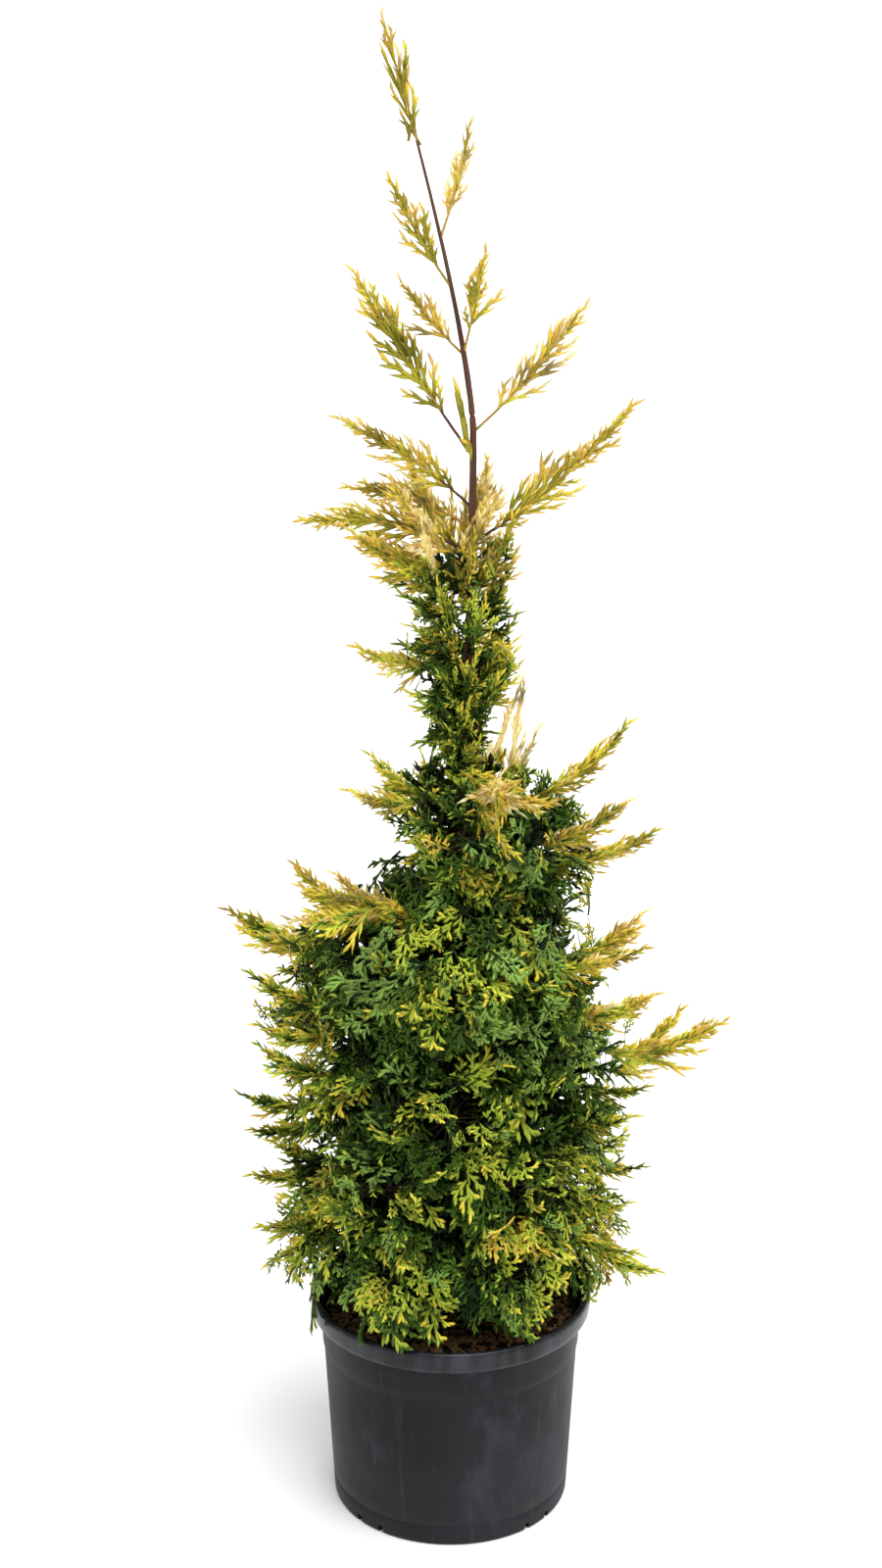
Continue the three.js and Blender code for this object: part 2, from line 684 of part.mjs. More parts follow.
// the boughs and the stems come first, then the packed cores between them, and then the sprays
ROWS.push(leaderTip());
for (const [i, r] of ROWS.entries()) {
  r.seed = i + 1;
  r.centre ??= boughCurve(r);
  r.length = curveLength(r.centre);
  r.start = shareOf(r.centre, r.bare); // where the leaves begin
  r.stemFrom = r.limb ? r.start : 0;
  r.coreFrom = lerp(r.start, 1, CORE.from);
  r.line = lineOf(r.centre, r.start * 0.5, 1);
  r.middle = r.centre(CORE.centre);
  r.direction = r.centre(1).sub(r.centre(0)).normalize();
  const wood = stemSolid(r, SPACE.wood);
  if (r.limb) r.boughRoom = kept(boughSolid(r, GAP));
  r.woodRoom = kept(r.limb ? wood.add(r.boughRoom.shape) : wood);
}
for (const r of ROWS) {
  let made = stemSolid(r);
  if (r.core) {
    const bounds = boundsOf(r);
    r.planes = bounds.planes;
    r.inner = bounds.inner;
    made = made.add(coreSolid(r));
  }
  r.kept = kept(made);
}
for (const r of ROWS) addSprays(r);

for (const r of ROWS) {
  if (r.limb) plant.add(mesh("bough_" + r.name, boughSolid(r), "bark"));
  plant.add(mesh("foliage_" + r.name, r.kept.shape, r.tint));
}

export default plant;
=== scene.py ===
"""A young golden leyland cypress in the round pot it was grown in, dressed for rendering.

Shapes are worked out in millimetres, +Z up, with the origin at the centre of the pot's underside, and are
written to the meshes in metres. Headings are degrees from +X, turning towards +Y.
"""

import math

import bpy
import numpy as np
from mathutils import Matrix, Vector, noise


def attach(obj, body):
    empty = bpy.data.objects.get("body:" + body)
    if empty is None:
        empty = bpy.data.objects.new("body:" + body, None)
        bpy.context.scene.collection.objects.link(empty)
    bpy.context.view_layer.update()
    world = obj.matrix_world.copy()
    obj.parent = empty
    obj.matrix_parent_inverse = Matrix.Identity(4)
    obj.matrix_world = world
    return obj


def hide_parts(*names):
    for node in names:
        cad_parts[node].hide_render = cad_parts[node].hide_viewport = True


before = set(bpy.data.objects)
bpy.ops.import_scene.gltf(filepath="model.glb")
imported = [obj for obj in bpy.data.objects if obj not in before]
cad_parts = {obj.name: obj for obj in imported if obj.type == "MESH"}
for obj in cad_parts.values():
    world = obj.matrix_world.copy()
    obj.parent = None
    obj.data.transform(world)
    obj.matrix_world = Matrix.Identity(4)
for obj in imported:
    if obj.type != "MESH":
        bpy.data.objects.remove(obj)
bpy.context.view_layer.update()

# The camera, which stands where the photograph was taken from, and its place again in millimetres for the
# sight lines along which patches of colour and single plumes are set
CAMERA = {"place": (-0.0102, -2.613, 1.658), "pitch": 18.13, "lens": 62.8}
EYE = {"x": -10, "distance": 2613, "height": 1658}

# The pot, the soil and the trunk, as the solids have them
POT = {
    "height": 240,
    "rim": 150,
    "band": 23,
    "collar_top": 139,
    "collar_height": 180,
    "collar_step": 1.2,
    "foot": 126,
    "wall": 2.6,
    "floor": 3,
}
DRAIN = {"pairs_at": (47, 137, 227, 317), "half_spread": 7, "width": 6, "height": 9}
SOIL = {"edge_height": 213, "crown_height": 221, "edge": 134.4, "bottom": 190}
TRUNK = {
    "foot": 221.35,
    "top": 1440,
    "foot_radius": 12.4,
    "least_radius": 0.7,
    "taper": 1.3,
    "flare": 7,
    "flare_height": 13,
    "plant_top": 1548,
    "sway_right": 21,
    "sway_end": 1160,
    "lean_left": 86,
    "lean_power": 1.35,
    "sway_back": 5,
}

# What grows from the trunk, in groups. A group has the thickness of its masses' packed middle, which plumes
# lack, how much its sprays droop, and a row for each bough with its mass of foliage: the height where it
# leaves the trunk, its heading, how far out and how far up its tip is, how much it arches, the length with
# no leaves, how far its longest side spray stands out, the tint, and the radius of a bough seen bare.
GROUPS = [
    (0, 0.0, [
        (1345, 18, 29, 97, -6, 22, 32, "pale", 0),  # leader_spray_1
        (1298, 188, 55, 98, -6, 24, 36, "olive", 0),  # leader_spray_2
        (1234, 148, 66, 60, -4, 20, 36, "pale", 0),  # leader_spray_3
        (1236, 312, 27, 94, -6, 26, 32, "olive", 0),  # leader_spray_4
    ]),
    (0, 0.05, [
        (1135, 190, 112, 174, -4, 56, 48, "olive", 2.4),  # upper_left
        (1160, 4, 102, 117, -8, 34, 46, "pale", 0),  # upper_right
        (1085, 166, 125, 76, 8, 42, 50, "gold", 2.2),  # left_high
        (1050, 356, 152, 134, -10, 44, 54, "gold", 2.8),  # right_high
        (1040, 182, 158, 32, 14, 44, 54, "olive", 2.6),  # left_low
        (1064, 152, 132, 26, 10, 38, 48, "gold", 0),  # left_back
        (1035, 82, 108, 70, 4, 26, 52, "gold", 0),  # shoulder_back
    ]),
    (28, 0.0, [
        (944, 338, 44, 92, 0, 6, 38, "green", 0),  # column_right_top
        (852, 340, 66, 90, -2, 18, 40, "olive", 2.6),  # column_right
        (936, 204, 54, 86, 0, 6, 38, "olive", 0),  # column_left_top
        (850, 184, 100, 88, 6, 8, 40, "gold", 0),  # column_left
        (872, 90, 50, 128, 0, 6, 40, "deep", 0),  # column_back
        (862, 266, 46, 124, 0, 6, 38, "green", 0),  # column_front
    ]),
    (44, 0.1, [
        (742, 4, 165, 125, -10, 30, 54, "gold", 3.2),  # middle_right_top
        (730, 190, 104, 90, 0, 12, 52, "gold", 0),  # middle_left_top
        (690, 270, 120, 118, 4, 10, 54, "gold", 0),  # middle_front
        (672, 328, 168, 110, 2, 16, 54, "olive", 0),  # middle_right
        (654, 24, 196, 86, 10, 16, 54, "gold", 0),  # middle_right_low
        (676, 112, 130, 112, 6, 10, 54, "green", 0),  # middle_back
    ]),
    (0, 0.0, [
        (780, 50, 92, 112, -14, 30, 40, "cream", 0),  # middle_pale
    ]),
    (60, 0.15, [
        (600, 188, 168, 124, -4, 36, 58, "gold", 3.8),  # body_left_high
        (540, 174, 233, 128, -6, 44, 60, "gold", 4.2),  # body_left_far
        (452, 190, 200, 110, -6, 22, 58, "olive", 0),  # body_left_mid
        (346, 184, 214, 106, -6, 22, 58, "olive", 0),  # body_left_low
        (560, 0, 194, 102, -4, 22, 58, "gold", 0),  # body_right_high
        (420, 6, 279, 126, -12, 48, 60, "gold", 4.4),  # body_right_far
        (350, 344, 190, 88, 0, 22, 58, "lime", 0),  # body_right_mid
        (550, 264, 138, 100, 6, 12, 60, "lime", 0),  # body_front_high
        (490, 310, 146, 106, 8, 14, 60, "green", 0),  # body_front_right_high
        (484, 224, 146, 102, 8, 14, 60, "green", 0),  # body_front_left_high
        (414, 268, 158, 92, 8, 18, 60, "lime", 0),  # body_front_mid
        (340, 304, 162, 80, 10, 18, 60, "green", 0),  # body_front_right
        (332, 234, 160, 80, 10, 18, 60, "green", 0),  # body_front_left
        (548, 88, 146, 100, 4, 14, 62, "green", 0),  # body_back_high
        (440, 132, 166, 96, 6, 18, 62, "deep", 0),  # body_back_left
        (436, 46, 170, 100, 6, 18, 62, "deep", 0),  # body_back_right
        (336, 92, 168, 84, 6, 18, 62, "green", 0),  # body_back_low
    ]),
    (48, 0.35, [
        (262, 190, 196, 36, 34, 18, 56, "lime", 0),  # foot_left
        (262, 352, 208, 20, 40, 18, 56, "lime", 0),  # foot_right
        (262, 246, 152, 34, 34, 16, 56, "lime", 0),  # foot_front_left
        (262, 298, 156, 34, 34, 16, 56, "lime", 0),  # foot_front_right
        (262, 128, 162, 36, 30, 16, 58, "green", 0),  # foot_back_left
        (262, 52, 166, 34, 30, 16, 58, "green", 0),  # foot_back_right
    ]),
]

# The crown's dense outline: height, and how far it reaches from the trunk to the left and to the right
CROWN = [
    (222, 168, 140), (250, 182, 166), (300, 172, 170), (360, 164, 163), (420, 158, 166),
    (480, 158, 168), (540, 160, 160), (590, 170, 144), (634, 184, 136), (656, 146, 130),
    (680, 98, 104), (700, 52, 112), (725, 44, 126), (760, 74, 134), (785, 92, 118),
    (804, 74, 84), (826, 34, 42), (850, 46, 30), (884, 47, 29), (910, 44, 34),
    (935, 58, 44), (950, 62, 44), (975, 54, 42), (1010, 52, 38), (1030, 54, 34),
]
CROWN_ROUGHNESS = 0.1
DEPTH = 170  # to the front and to the back
FRONT, BACK = -190, 178  # as far as any fan goes

# Single plumes whose tips stand out of a dense mass, and single shoots of the leader: the tip's x, y and
# height, heading, rise in degrees, length and tint
TUFTS = [
    (-228, 0, 668, 178, 24, 120, "gold"), (-158, -20, 725, 186, 40, 110, "gold"),
    (-60, -40, 701, 205, 66, 70, "green"), (-189, 0, 588, 184, 46, 100, "olive"),
    (-201, 0, 518, 186, 32, 90, "olive"), (-218, 0, 464, 186, 18, 95, "olive"),
    (-187, 0, 409, 190, 24, 80, "green"), (-186, -10, 278, 190, -24, 70, "lime"),
    (281, 0, 546, 2, 24, 130, "gold"), (221, 0, 541, 4, 52, 80, "gold"),
    (196, 0, 665, 4, 34, 80, "gold"), (197, 0, 626, 356, 14, 80, "gold"),
    (187, 0, 438, 354, 18, 70, "lime"), (185, 0, 337, 352, 8, 70, "lime"),
    (214, -10, 263, 350, -14, 90, "lime"), (174, -49, 801, 350, 30, 100, "gold"),
    (178, 0, 867, 4, 38, 120, "gold"), (207, 20, 745, 6, 14, 110, "gold"),
    (148, 0, 729, 4, 6, 80, "olive"), (-80, 0, 835, 178, 42, 70, "gold"),
    (-99, -29, 806, 190, 14, 70, "gold"), (-91, 0, 946, 178, 14, 70, "gold"),
    (61, -20, 945, 344, 60, 60, "olive"), (55, -9, 1029, 344, 66, 60, "green"),
    (-152, -30, 704, 188, 22, 110, "gold"), (-206, -14, 650, 184, 18, 100, "gold"),
    (188, -16, 652, 0, 30, 90, "gold"), (172, -34, 632, 354, 18, 80, "gold"),
    (238, -10, 562, 4, 42, 100, "gold"), (74, 69, 893, 50, 74, 130, "cream"),
    (58, 66, 850, 30, 60, 90, "cream"), (92, 66, 846, 30, 50, 90, "cream"),
    (-205, -30, 612, 190, 30, 90, "olive"), (-196, -46, 560, 196, 16, 90, "lime"),
    (-206, -28, 436, 188, 8, 90, "olive"), (-204, -34, 386, 190, 4, 90, "lime"),
    (-196, -40, 330, 194, -6, 90, "lime"), (206, -36, 590, 350, 24, 90, "gold"),
    (200, -40, 488, 350, 10, 90, "olive"), (196, -44, 400, 348, 4, 90, "lime"),
    (190, -40, 300, 346, -8, 90, "lime"), (45, -80, 822, 285, 12, 70, "gold"),
    (96, -84, 812, 328, -8, 100, "gold"), (60, -104, 768, 300, -24, 80, "gold"),
    (-60, -30, 1120, 200, 50, 100, "pale"), (-45, 40, 1132, 140, 55, 100, "pale"),
    (46, -25, 1112, 330, 60, 95, "pale"), (38, 32, 1122, 40, 60, 95, "pale"),
    (-98, -30, 1070, 198, 26, 110, "olive"), (-78, 14, 1052, 176, 20, 90, "gold"),
    (-30, -50, 1088, 250, 52, 90, "cream"), (22, -48, 1072, 290, 60, 85, "olive"),
    (62, -20, 1084, 340, 62, 90, "olive"), (0, 52, 1092, 90, 58, 90, "gold"),
    (-52, -25, 1036, 205, 16, 70, "lime"), (-70, 150, 655, 112, 34, 90, "gold"),
    (62, 158, 600, 70, 26, 90, "gold"), (-118, 142, 520, 128, 20, 90, "gold"),
    (14, 162, 500, 86, 22, 90, "gold"), (112, 146, 452, 54, 14, 90, "lime"),
    (-40, 162, 400, 104, 8, 90, "lime"), (66, 156, 330, 72, -4, 90, "gold"),
    (-112, 146, 290, 126, -10, 90, "lime"), (-30, 118, 800, 106, 26, 90, "gold"),
    (58, -6, 1029, 350, 62, 70, "olive"), (60, 8, 973, 350, 54, 66, "lime"),
    (60, -12, 953, 354, 48, 60, "olive"), (63, 6, 927, 0, 42, 62, "gold"),
    (45, 0, 893, 350, 12, 54, "green"), (39, 4, 863, 340, 8, 46, "green"),
    (-51, -4, 1014, 186, 4, 64, "green"), (-37, -8, 971, 190, 26, 60, "olive"),
    (-47, -4, 951, 186, 10, 60, "green"), (-35, -10, 928, 190, -6, 50, "green"),
    (-30, -6, 854, 200, -8, 48, "green"), (-28, -4, 890, 190, 8, 46, "green"),
    (-12, -44, 1020, 250, 60, 64, "lime"), (33, -42, 1004, 300, 60, 66, "olive"),
    (1, -48, 978, 262, 52, 60, "olive"), (24, -46, 950, 290, 54, 58, "lime"),
    (-10, -46, 934, 240, 46, 56, "green"), (17, -42, 905, 280, 52, 50, "lime"),
    (-2, -40, 878, 250, 44, 46, "green"), (26, -38, 864, 300, 46, 46, "lime"),
    (-116, -36, 720, 192, 36, 90, "pale"), (-75, -56, 710, 210, 44, 80, "gold"),
    (-131, -60, 711, 200, 18, 84, "gold"), (-156, -70, 688, 200, 6, 84, "gold"),
    (-31, -4, 1480, 355, 78, 44, "olive"), (-52, 2, 1464, 184, 56, 38, "olive"),
    (-69, 4, 1522, 182, 66, 74, "gold"), (-41, -4, 1528, 0, 84, 52, "gold"),
    (-25, -34, 1041, 250, 50, 60, "green"), (-45, -10, 1004, 190, 30, 56, "green"),
    (-35, -16, 909, 196, 20, 44, "green"), (47, -90, 791, 282, -66, 46, "gold"),
    (21, -86, 822, 196, -10, 48, "pale"), (49, -76, 844, 320, 60, 48, "cream"),
    (74, -80, 816, 350, -6, 44, "pale"), (2, -5, 1210, 184, 80, 66, "olive"),
    (8, -8, 1172, 212, 70, 40, "gold"),
]

# Kinds of leaf: the colour, the part's material slot that it goes by, and how much light shines through
LEAF_KINDS = {
    "cream": ((1.0, 0.95, 0.74), "foliage_pale", 0.7),
    "pale": ((1.0, 0.91, 0.57), "foliage_pale", 0.6),
    "gold": ((1.0, 0.89, 0.37), "foliage_gold", 0.45),
    "yellow": ((1.0, 0.93, 0.34), "foliage_gold", 0.35),
    "olive": ((0.68, 0.65, 0.21), "foliage_olive", 0.18),
    "lime": ((0.68, 0.74, 0.25), "foliage_lime", 0.18),
    "green": ((0.29, 0.41, 0.13), "foliage_green", 0.18),
    "blue": ((0.53, 0.66, 0.31), "foliage_green", 0.18),
    "deep": ((0.13, 0.20, 0.07), "foliage_deep", 0.18),
}
KINDS = list(LEAF_KINDS)
CREAM_PAINTED_GLOW = 0.4  # painted glow: the palest shoots shine by emission, standing in for light shining through them from behind
# What a kind of spray has at its foot, in its middle and at its tips
SPRAYS = {
    "cream": ("cream", "cream", "cream"),
    "pale": ("gold", "pale", "cream"),
    "gold": ("olive", "gold", "pale"),
    "sunny": ("lime", "yellow", "gold"),
    "bronze": ("olive", "olive", "gold"),
    "olive": ("green", "olive", "gold"),
    "yellow": ("green", "lime", "yellow"),
    "lime": ("deep", "lime", "yellow"),
    "green": ("deep", "green", "lime"),
    "blue": ("deep", "blue", "blue"),
    "dark": ("deep", "green", "green"),
    "deep": ("deep", "deep", "green"),
    "darkest": ("deep", "deep", "deep"),
}
# How often each kind of spray turns up in a mass of a tint
MIXES = {
    "gold": {"gold": 0.12, "olive": 0.23, "yellow": 0.3, "lime": 0.2, "green": 0.15},
    "olive": {"olive": 0.35, "yellow": 0.15, "green": 0.25, "lime": 0.25},
    "lime": {"lime": 0.3, "green": 0.4, "yellow": 0.15, "blue": 0.15},
    "green": {"green": 0.4, "blue": 0.25, "lime": 0.2, "dark": 0.15},
    "deep": {"green": 0.4, "dark": 0.4, "lime": 0.2},
}

# The same for places with a look of their own
LOOKS = {
    "sage": {"blue": 0.6, "lime": 0.25, "green": 0.15},
    "sunlit": {"yellow": 0.5, "lime": 0.25, "olive": 0.15, "green": 0.1},
    "bright": {"gold": 0.3, "yellow": 0.4, "olive": 0.3},
    "fresh": {"lime": 0.45, "green": 0.35, "yellow": 0.2},
    "cool": {"green": 0.55, "blue": 0.3, "dark": 0.1, "lime": 0.05},
    "mossy": {"olive": 0.4, "green": 0.4, "lime": 0.2},
    "shady": {"dark": 0.6, "deep": 0.3, "green": 0.1},
    # the inside and under looks are painted shade, for fans deep in the crown
    "inside": {"deep": 0.6, "dark": 0.4},
    "under": {"dark": 0.4, "green": 0.4, "blue": 0.2},
    "column": {"green": 0.15, "olive": 0.4, "lime": 0.2, "yellow": 0.2, "dark": 0.05},
    "neck": {"green": 0.55, "dark": 0.2, "lime": 0.15, "olive": 0.1},
}
# Patches of the front with such a look: where each shows from in front, its half width and half height
PATCHES = [
    (-86, 585, 36, 56, "sage"), (-30, 628, 28, 24, "fresh"), (-18, 557, 38, 22, "sunlit"),
    (37, 574, 28, 24, "sunlit"), (-46, 508, 63, 29, "shady"), (-72, 449, 25, 40, "shady"),
    (-36, 388, 27, 34, "shady"), (-118, 458, 31, 20, "sunlit"), (-119, 384, 23, 23, "sunlit"),
    (46, 467, 49, 29, "fresh"), (122, 497, 47, 53, "cool"), (88, 633, 34, 43, "cool"),
    (62, 379, 39, 30, "fresh"), (-21, 331, 46, 23, "fresh"), (79, 291, 35, 30, "bright"),
    (-50, 228, 55, 21, "sunlit"), (-2, 197, 27, 24, "fresh"), (-85, 266, 48, 23, "shady"),
    (34, 242, 31, 23, "shady"), (176, 350, 27, 34, "fresh"), (169, 284, 35, 28, "bright"),
    (20, 733, 28, 29, "shady"), (42, 698, 28, 19, "sunlit"), (2, 660, 36, 19, "shady"),
    (87, 713, 32, 32, "cool"), (-135, 327, 29, 34, "fresh"), (-163, 513, 35, 66, "mossy"),
    (134, 379, 29, 25, "fresh"), (141, 579, 30, 37, "fresh"), (0, 606, 20, 22, "cool"),
]
# How often each kind of spray turns up among the feathers of a plume
PLUMES = {
    "cream": {"cream": 1},
    "golden": {"sunny": 0.5, "gold": 0.15, "pale": 0.15, "yellow": 0.2},
    "mossy": {"olive": 0.4, "green": 0.3, "yellow": 0.3},
    "pale": {"pale": 0.7, "gold": 0.3},
    "gold": {"gold": 0.7, "pale": 0.2, "bronze": 0.1},
    "olive": {"bronze": 0.6, "gold": 0.4},
    "lime": {"lime": 0.5, "yellow": 0.5},
    "green": {"green": 0.75, "lime": 0.25},
}

UP = np.array([0.0, 0.0, 1.0])
MOST_FINGERS = 19000  # in one piece


# Small helpers
def unit(v):
    return v / max(np.linalg.norm(v), 1e-9)


def lerp(a, b, t):
    return a + (b - a) * t


def smooth_step(x, a, b):
    t = min(1.0, max(0.0, (x - a) / (b - a)))
    return t * t * (3 - 2 * t)


def seeded(seed):
    """The stream of numbers from 0 to 1 that the solids grow by."""
    state = [(seed * 7919 + 104729) % 2147483647]

    def draw():
        state[0] = state[0] * 16807 % 2147483647
        return state[0] / 2147483647

    return draw


def turned(v, axis, angle):
    """v turned about a unit axis by an angle in radians."""
    c, s = math.cos(angle), math.sin(angle)
    return v * c + np.cross(axis, v) * s + axis * np.dot(axis, v) * (1 - c)


def flat(angle):
    """The level direction at an angle in radians."""
    return np.array([math.cos(angle), math.sin(angle), 0.0])


def facing(face, direction, roll):
    """The direction across a spray's own that faces a given way, rolled by an angle in radians."""
    return turned(unit(face - direction * np.dot(face, direction)), direction, roll)


def one_of(items, chance):
    return items[int(chance * len(items)) % len(items)]


def roughness(x, y, z):
    return noise.noise(Vector((x, y, z)))


def round_angles(sides):
    return np.arange(sides) * 2 * math.pi / sides


def heading_of(degrees, rise=0.0):
    """The direction at a heading and a rise in degrees."""
    return flat(math.radians(degrees)) * math.cos(math.radians(rise)) + UP * math.sin(math.radians(rise))


def trunk_point(z):
    climb = smooth_step(z, TRUNK["foot"], TRUNK["sway_end"])
    lean = max(0.0, (z - TRUNK["sway_end"]) / (TRUNK["plant_top"] - TRUNK["sway_end"]))
    x = TRUNK["sway_right"] * climb - TRUNK["lean_left"] * lean ** TRUNK["lean_power"]
    return np.array([x, TRUNK["sway_back"] * math.sin(math.pi * climb), z])


def trunk_radius(z):
    share = min(1.0, max(0.0, (z - TRUNK["foot"]) / (TRUNK["plant_top"] - TRUNK["foot"])))
    flare = TRUNK["flare"] * math.exp(-max(0.0, z - TRUNK["foot"]) / TRUNK["flare_height"])
    return TRUNK["foot_radius"] * (1 - share) ** TRUNK["taper"] + TRUNK["least_radius"] + flare


def placed(name, data):
    """An object of the scene that shows a mesh, a light or a camera."""
    made = bpy.data.objects.new(name, data)
    bpy.context.scene.collection.objects.link(made)
    return made


def mesh_object(name, points, faces, material, smooth=True):
    """A mesh from points in millimetres and rows of triangles or quads."""
    points = np.asarray(points, dtype=np.float32).reshape(-1, 3) * 0.001
    faces = np.asarray(faces, dtype=np.int32)
    corners = faces.shape[1]
    mesh = bpy.data.meshes.new(name)
    mesh.vertices.add(len(points))
    mesh.vertices.foreach_set("co", points.ravel())
    mesh.loops.add(faces.size)
    mesh.loops.foreach_set("vertex_index", faces.ravel())
    mesh.polygons.add(len(faces))
    mesh.polygons.foreach_set("loop_start", np.arange(0, faces.size, corners, dtype=np.int32))
    mesh.polygons.foreach_set("use_smooth", np.full(len(faces), smooth))
    mesh.update(calc_edges=True)
    mesh.validate()
    mesh.materials.append(material)
    return placed(name, mesh)


# Materials
def linear(colour):
    return tuple(c / 12.92 if c <= 0.04045 else ((c + 0.055) / 1.055) ** 2.4 for c in colour) + (1.0,)


def shade(colour, factor):
    return tuple(min(1.0, c * factor) for c in colour)


class Nodes:
    """A material's node tree and short ways to add to it. A _ in a name stands for a socket's space."""

    def __init__(self, name, roughness, specular):
        self.material = bpy.data.materials.new(name)
        self.material.use_nodes = True
        self.tree = self.material.node_tree
        self.tree.nodes.clear()
        self.out = self.new("OutputMaterial")
        self.shader = self.new("BsdfPrincipled", Roughness=roughness, Specular_IOR_Level=specular)
        self.link(self.shader.outputs[0], self.out.inputs["Surface"])
        self.place = self.new("TexCoord").outputs["Object"]

    def new(self, kind, **values):
        node = self.tree.nodes.new("ShaderNode" + kind)
        for name, value in values.items():
            node.inputs[name.replace("_", " ")].default_value = value
        return node

    def link(self, a, b):
        self.tree.links.new(a, b)

    def feed(self, **sources):
        for name, source in sources.items():
            self.link(source, self.shader.inputs[name.replace("_", " ")])

    def stretched(self, x, y, z):
        node = self.new("Mapping", Scale=(x, y, z))
        self.link(self.place, node.inputs["Vector"])
        return node.outputs[0]

    def noise(self, scale, detail=4.0, rough=0.5, place=None):
        node = self.new("TexNoise", Scale=scale, Detail=detail, Roughness=rough)
        self.link(place or self.place, node.inputs["Vector"])
        return node.outputs["Fac"]

    def cells(self, scale):
        node = self.new("TexVoronoi", Scale=scale)
        self.link(self.place, node.inputs["Vector"])
        return node.outputs["Distance"]

    def ramp(self, fac, *stops):
        node = self.new("ValToRGB")
        ramp = node.color_ramp
        while len(ramp.elements) < len(stops):
            ramp.elements.new(0.5)
        for element, (at, colour) in zip(ramp.elements, stops):
            element.position = at
            element.color = linear(colour)
        self.link(fac, node.inputs["Fac"])
        return node.outputs["Color"]

    def mix(self, fac, a, b):
        """Two sources or colours mixed."""
        node = self.new("Mix")
        node.data_type = "RGBA"
        sockets = {s.identifier: s for s in node.inputs}
        for name, value in (("Factor_Float", fac), ("A_Color", a), ("B_Color", b)):
            if isinstance(value, tuple):
                sockets[name].default_value = linear(value)
            else:
                self.link(value, sockets[name])
        return next(s for s in node.outputs if s.identifier == "Result_Color")

    def spread(self, fac, low, high, start=0.3, end=0.7):
        """What lies from start to end spread out from low to high."""
        node = self.new("MapRange", To_Min=low, To_Max=high, From_Min=start, From_Max=end)
        self.link(fac, node.inputs["Value"])
        return node.outputs[0]

    def bump(self, height, strength, distance):
        node = self.new("Bump", Strength=strength, Distance=distance)
        self.link(height, node.inputs["Height"])
        self.feed(Normal=node.outputs[0])


def leaf_material(kind):
    """Tiny scale leaves: patches of lighter and darker colour, a scaly relief and a soft satin."""
    n = Nodes("leaf_" + kind, 0.5, 0.14)
    colour, _, let_through = LEAF_KINDS[kind]
    base = n.ramp(n.noise(26, 3), (0.3, shade(colour, 0.72)), (0.5, colour), (0.72, shade(colour, 1.2)))
    scales = n.cells(700)
    n.feed(Base_Color=n.mix(n.spread(scales, 0.0, 0.18), base, shade(colour, 0.7)),
           Roughness=n.spread(n.noise(160), 0.42, 0.6))
    n.bump(scales, 0.35, 0.0006)
    # the cream kind shines by emission: a painted glow
    if kind == "cream":
        n.feed(Emission_Color=base)
        n.shader.inputs["Emission Strength"].default_value = CREAM_PAINTED_GLOW
    glow = n.new("BsdfTranslucent")
    n.link(base, glow.inputs["Color"])
    both = n.new("MixShader")
    both.inputs[0].default_value = let_through
    n.link(n.shader.outputs[0], both.inputs[1])
    n.link(glow.outputs[0], both.inputs[2])
    n.link(both.outputs[0], n.out.inputs["Surface"])
    return n.material


def bark_material(name, warm, cool, stretch):
    """Flaking bark with upright furrows, in patches from a warm to a cool colour."""
    n = Nodes(name, 0.8, 0.25)
    furrows = n.noise(90, 6, 0.65, n.stretched(1, 1, stretch))
    colour = n.mix(n.spread(n.noise(30, 3), 0, 1), warm, cool)
    n.feed(Base_Color=n.mix(n.spread(furrows, 0.75, 0.0), colour, shade(warm, 0.4)),
           Roughness=n.spread(furrows, 0.9, 0.65))
    n.bump(furrows, 0.8, 0.0012)
    return n.material


def pot_material():
    """Charcoal plastic with a blue cast: smooth rim with painted highlight streaks on its band, duller
    wall, dusty smears, scratches and grain.
    """
    n = Nodes("pot_charcoal_plastic", 0.45, 0.16)
    split = n.new("SeparateXYZ")
    n.link(n.place, split.inputs[0])
    rim = n.spread(split.outputs["Z"], 0.0, 1.0, 0.213, 0.219)
    smears = n.noise(11, 9, 0.6, n.stretched(1, 1, 0.55))
    patches = n.noise(5, 3)
    scratches = n.noise(70, 6, 0.72, n.stretched(1, 1, 0.09))
    specks = n.ramp(n.noise(48, 9, 0.75), (0.68, (0.0, 0.0, 0.0)), (0.73, (0.7354, 0.7354, 0.7354)))
    streaks_gloss_and_painted_highlight = n.noise(30, 5, 0.6, n.stretched(1, 1, 0.12))
    wall = n.ramp(patches, (0.34, (0.088, 0.089, 0.092)), (0.66, (0.125, 0.130, 0.146)))
    # the rim band: dark plastic with light bluish streaks, which are painted highlights; the same streaks
    # also vary its gloss
    band = n.ramp(streaks_gloss_and_painted_highlight, (0.44, (0.050, 0.052, 0.060)), (0.60, (0.110, 0.120, 0.150)),
                  (0.74, (0.34, 0.36, 0.41)))
    plastic = n.mix(rim, wall, band)
    dusty = n.mix(n.spread(smears, -0.8, 0.45), plastic, (0.27, 0.28, 0.32))
    scuffed = n.mix(n.spread(scratches, -0.3, 0.14), dusty, (0.40, 0.40, 0.41))
    shine = n.mix(rim, n.spread(patches, 0.10, 0.18), n.spread(streaks_gloss_and_painted_highlight, 0.15, 0.4))
    n.feed(Base_Color=n.mix(specks, scuffed, (0.50, 0.50, 0.50)),
           Roughness=n.mix(rim, n.spread(smears, 0.38, 0.62), n.spread(streaks_gloss_and_painted_highlight, 0.16, 0.4)),
           Specular_IOR_Level=shine)
    n.bump(n.noise(420, 4), 0.1, 0.0004)
    return n.material


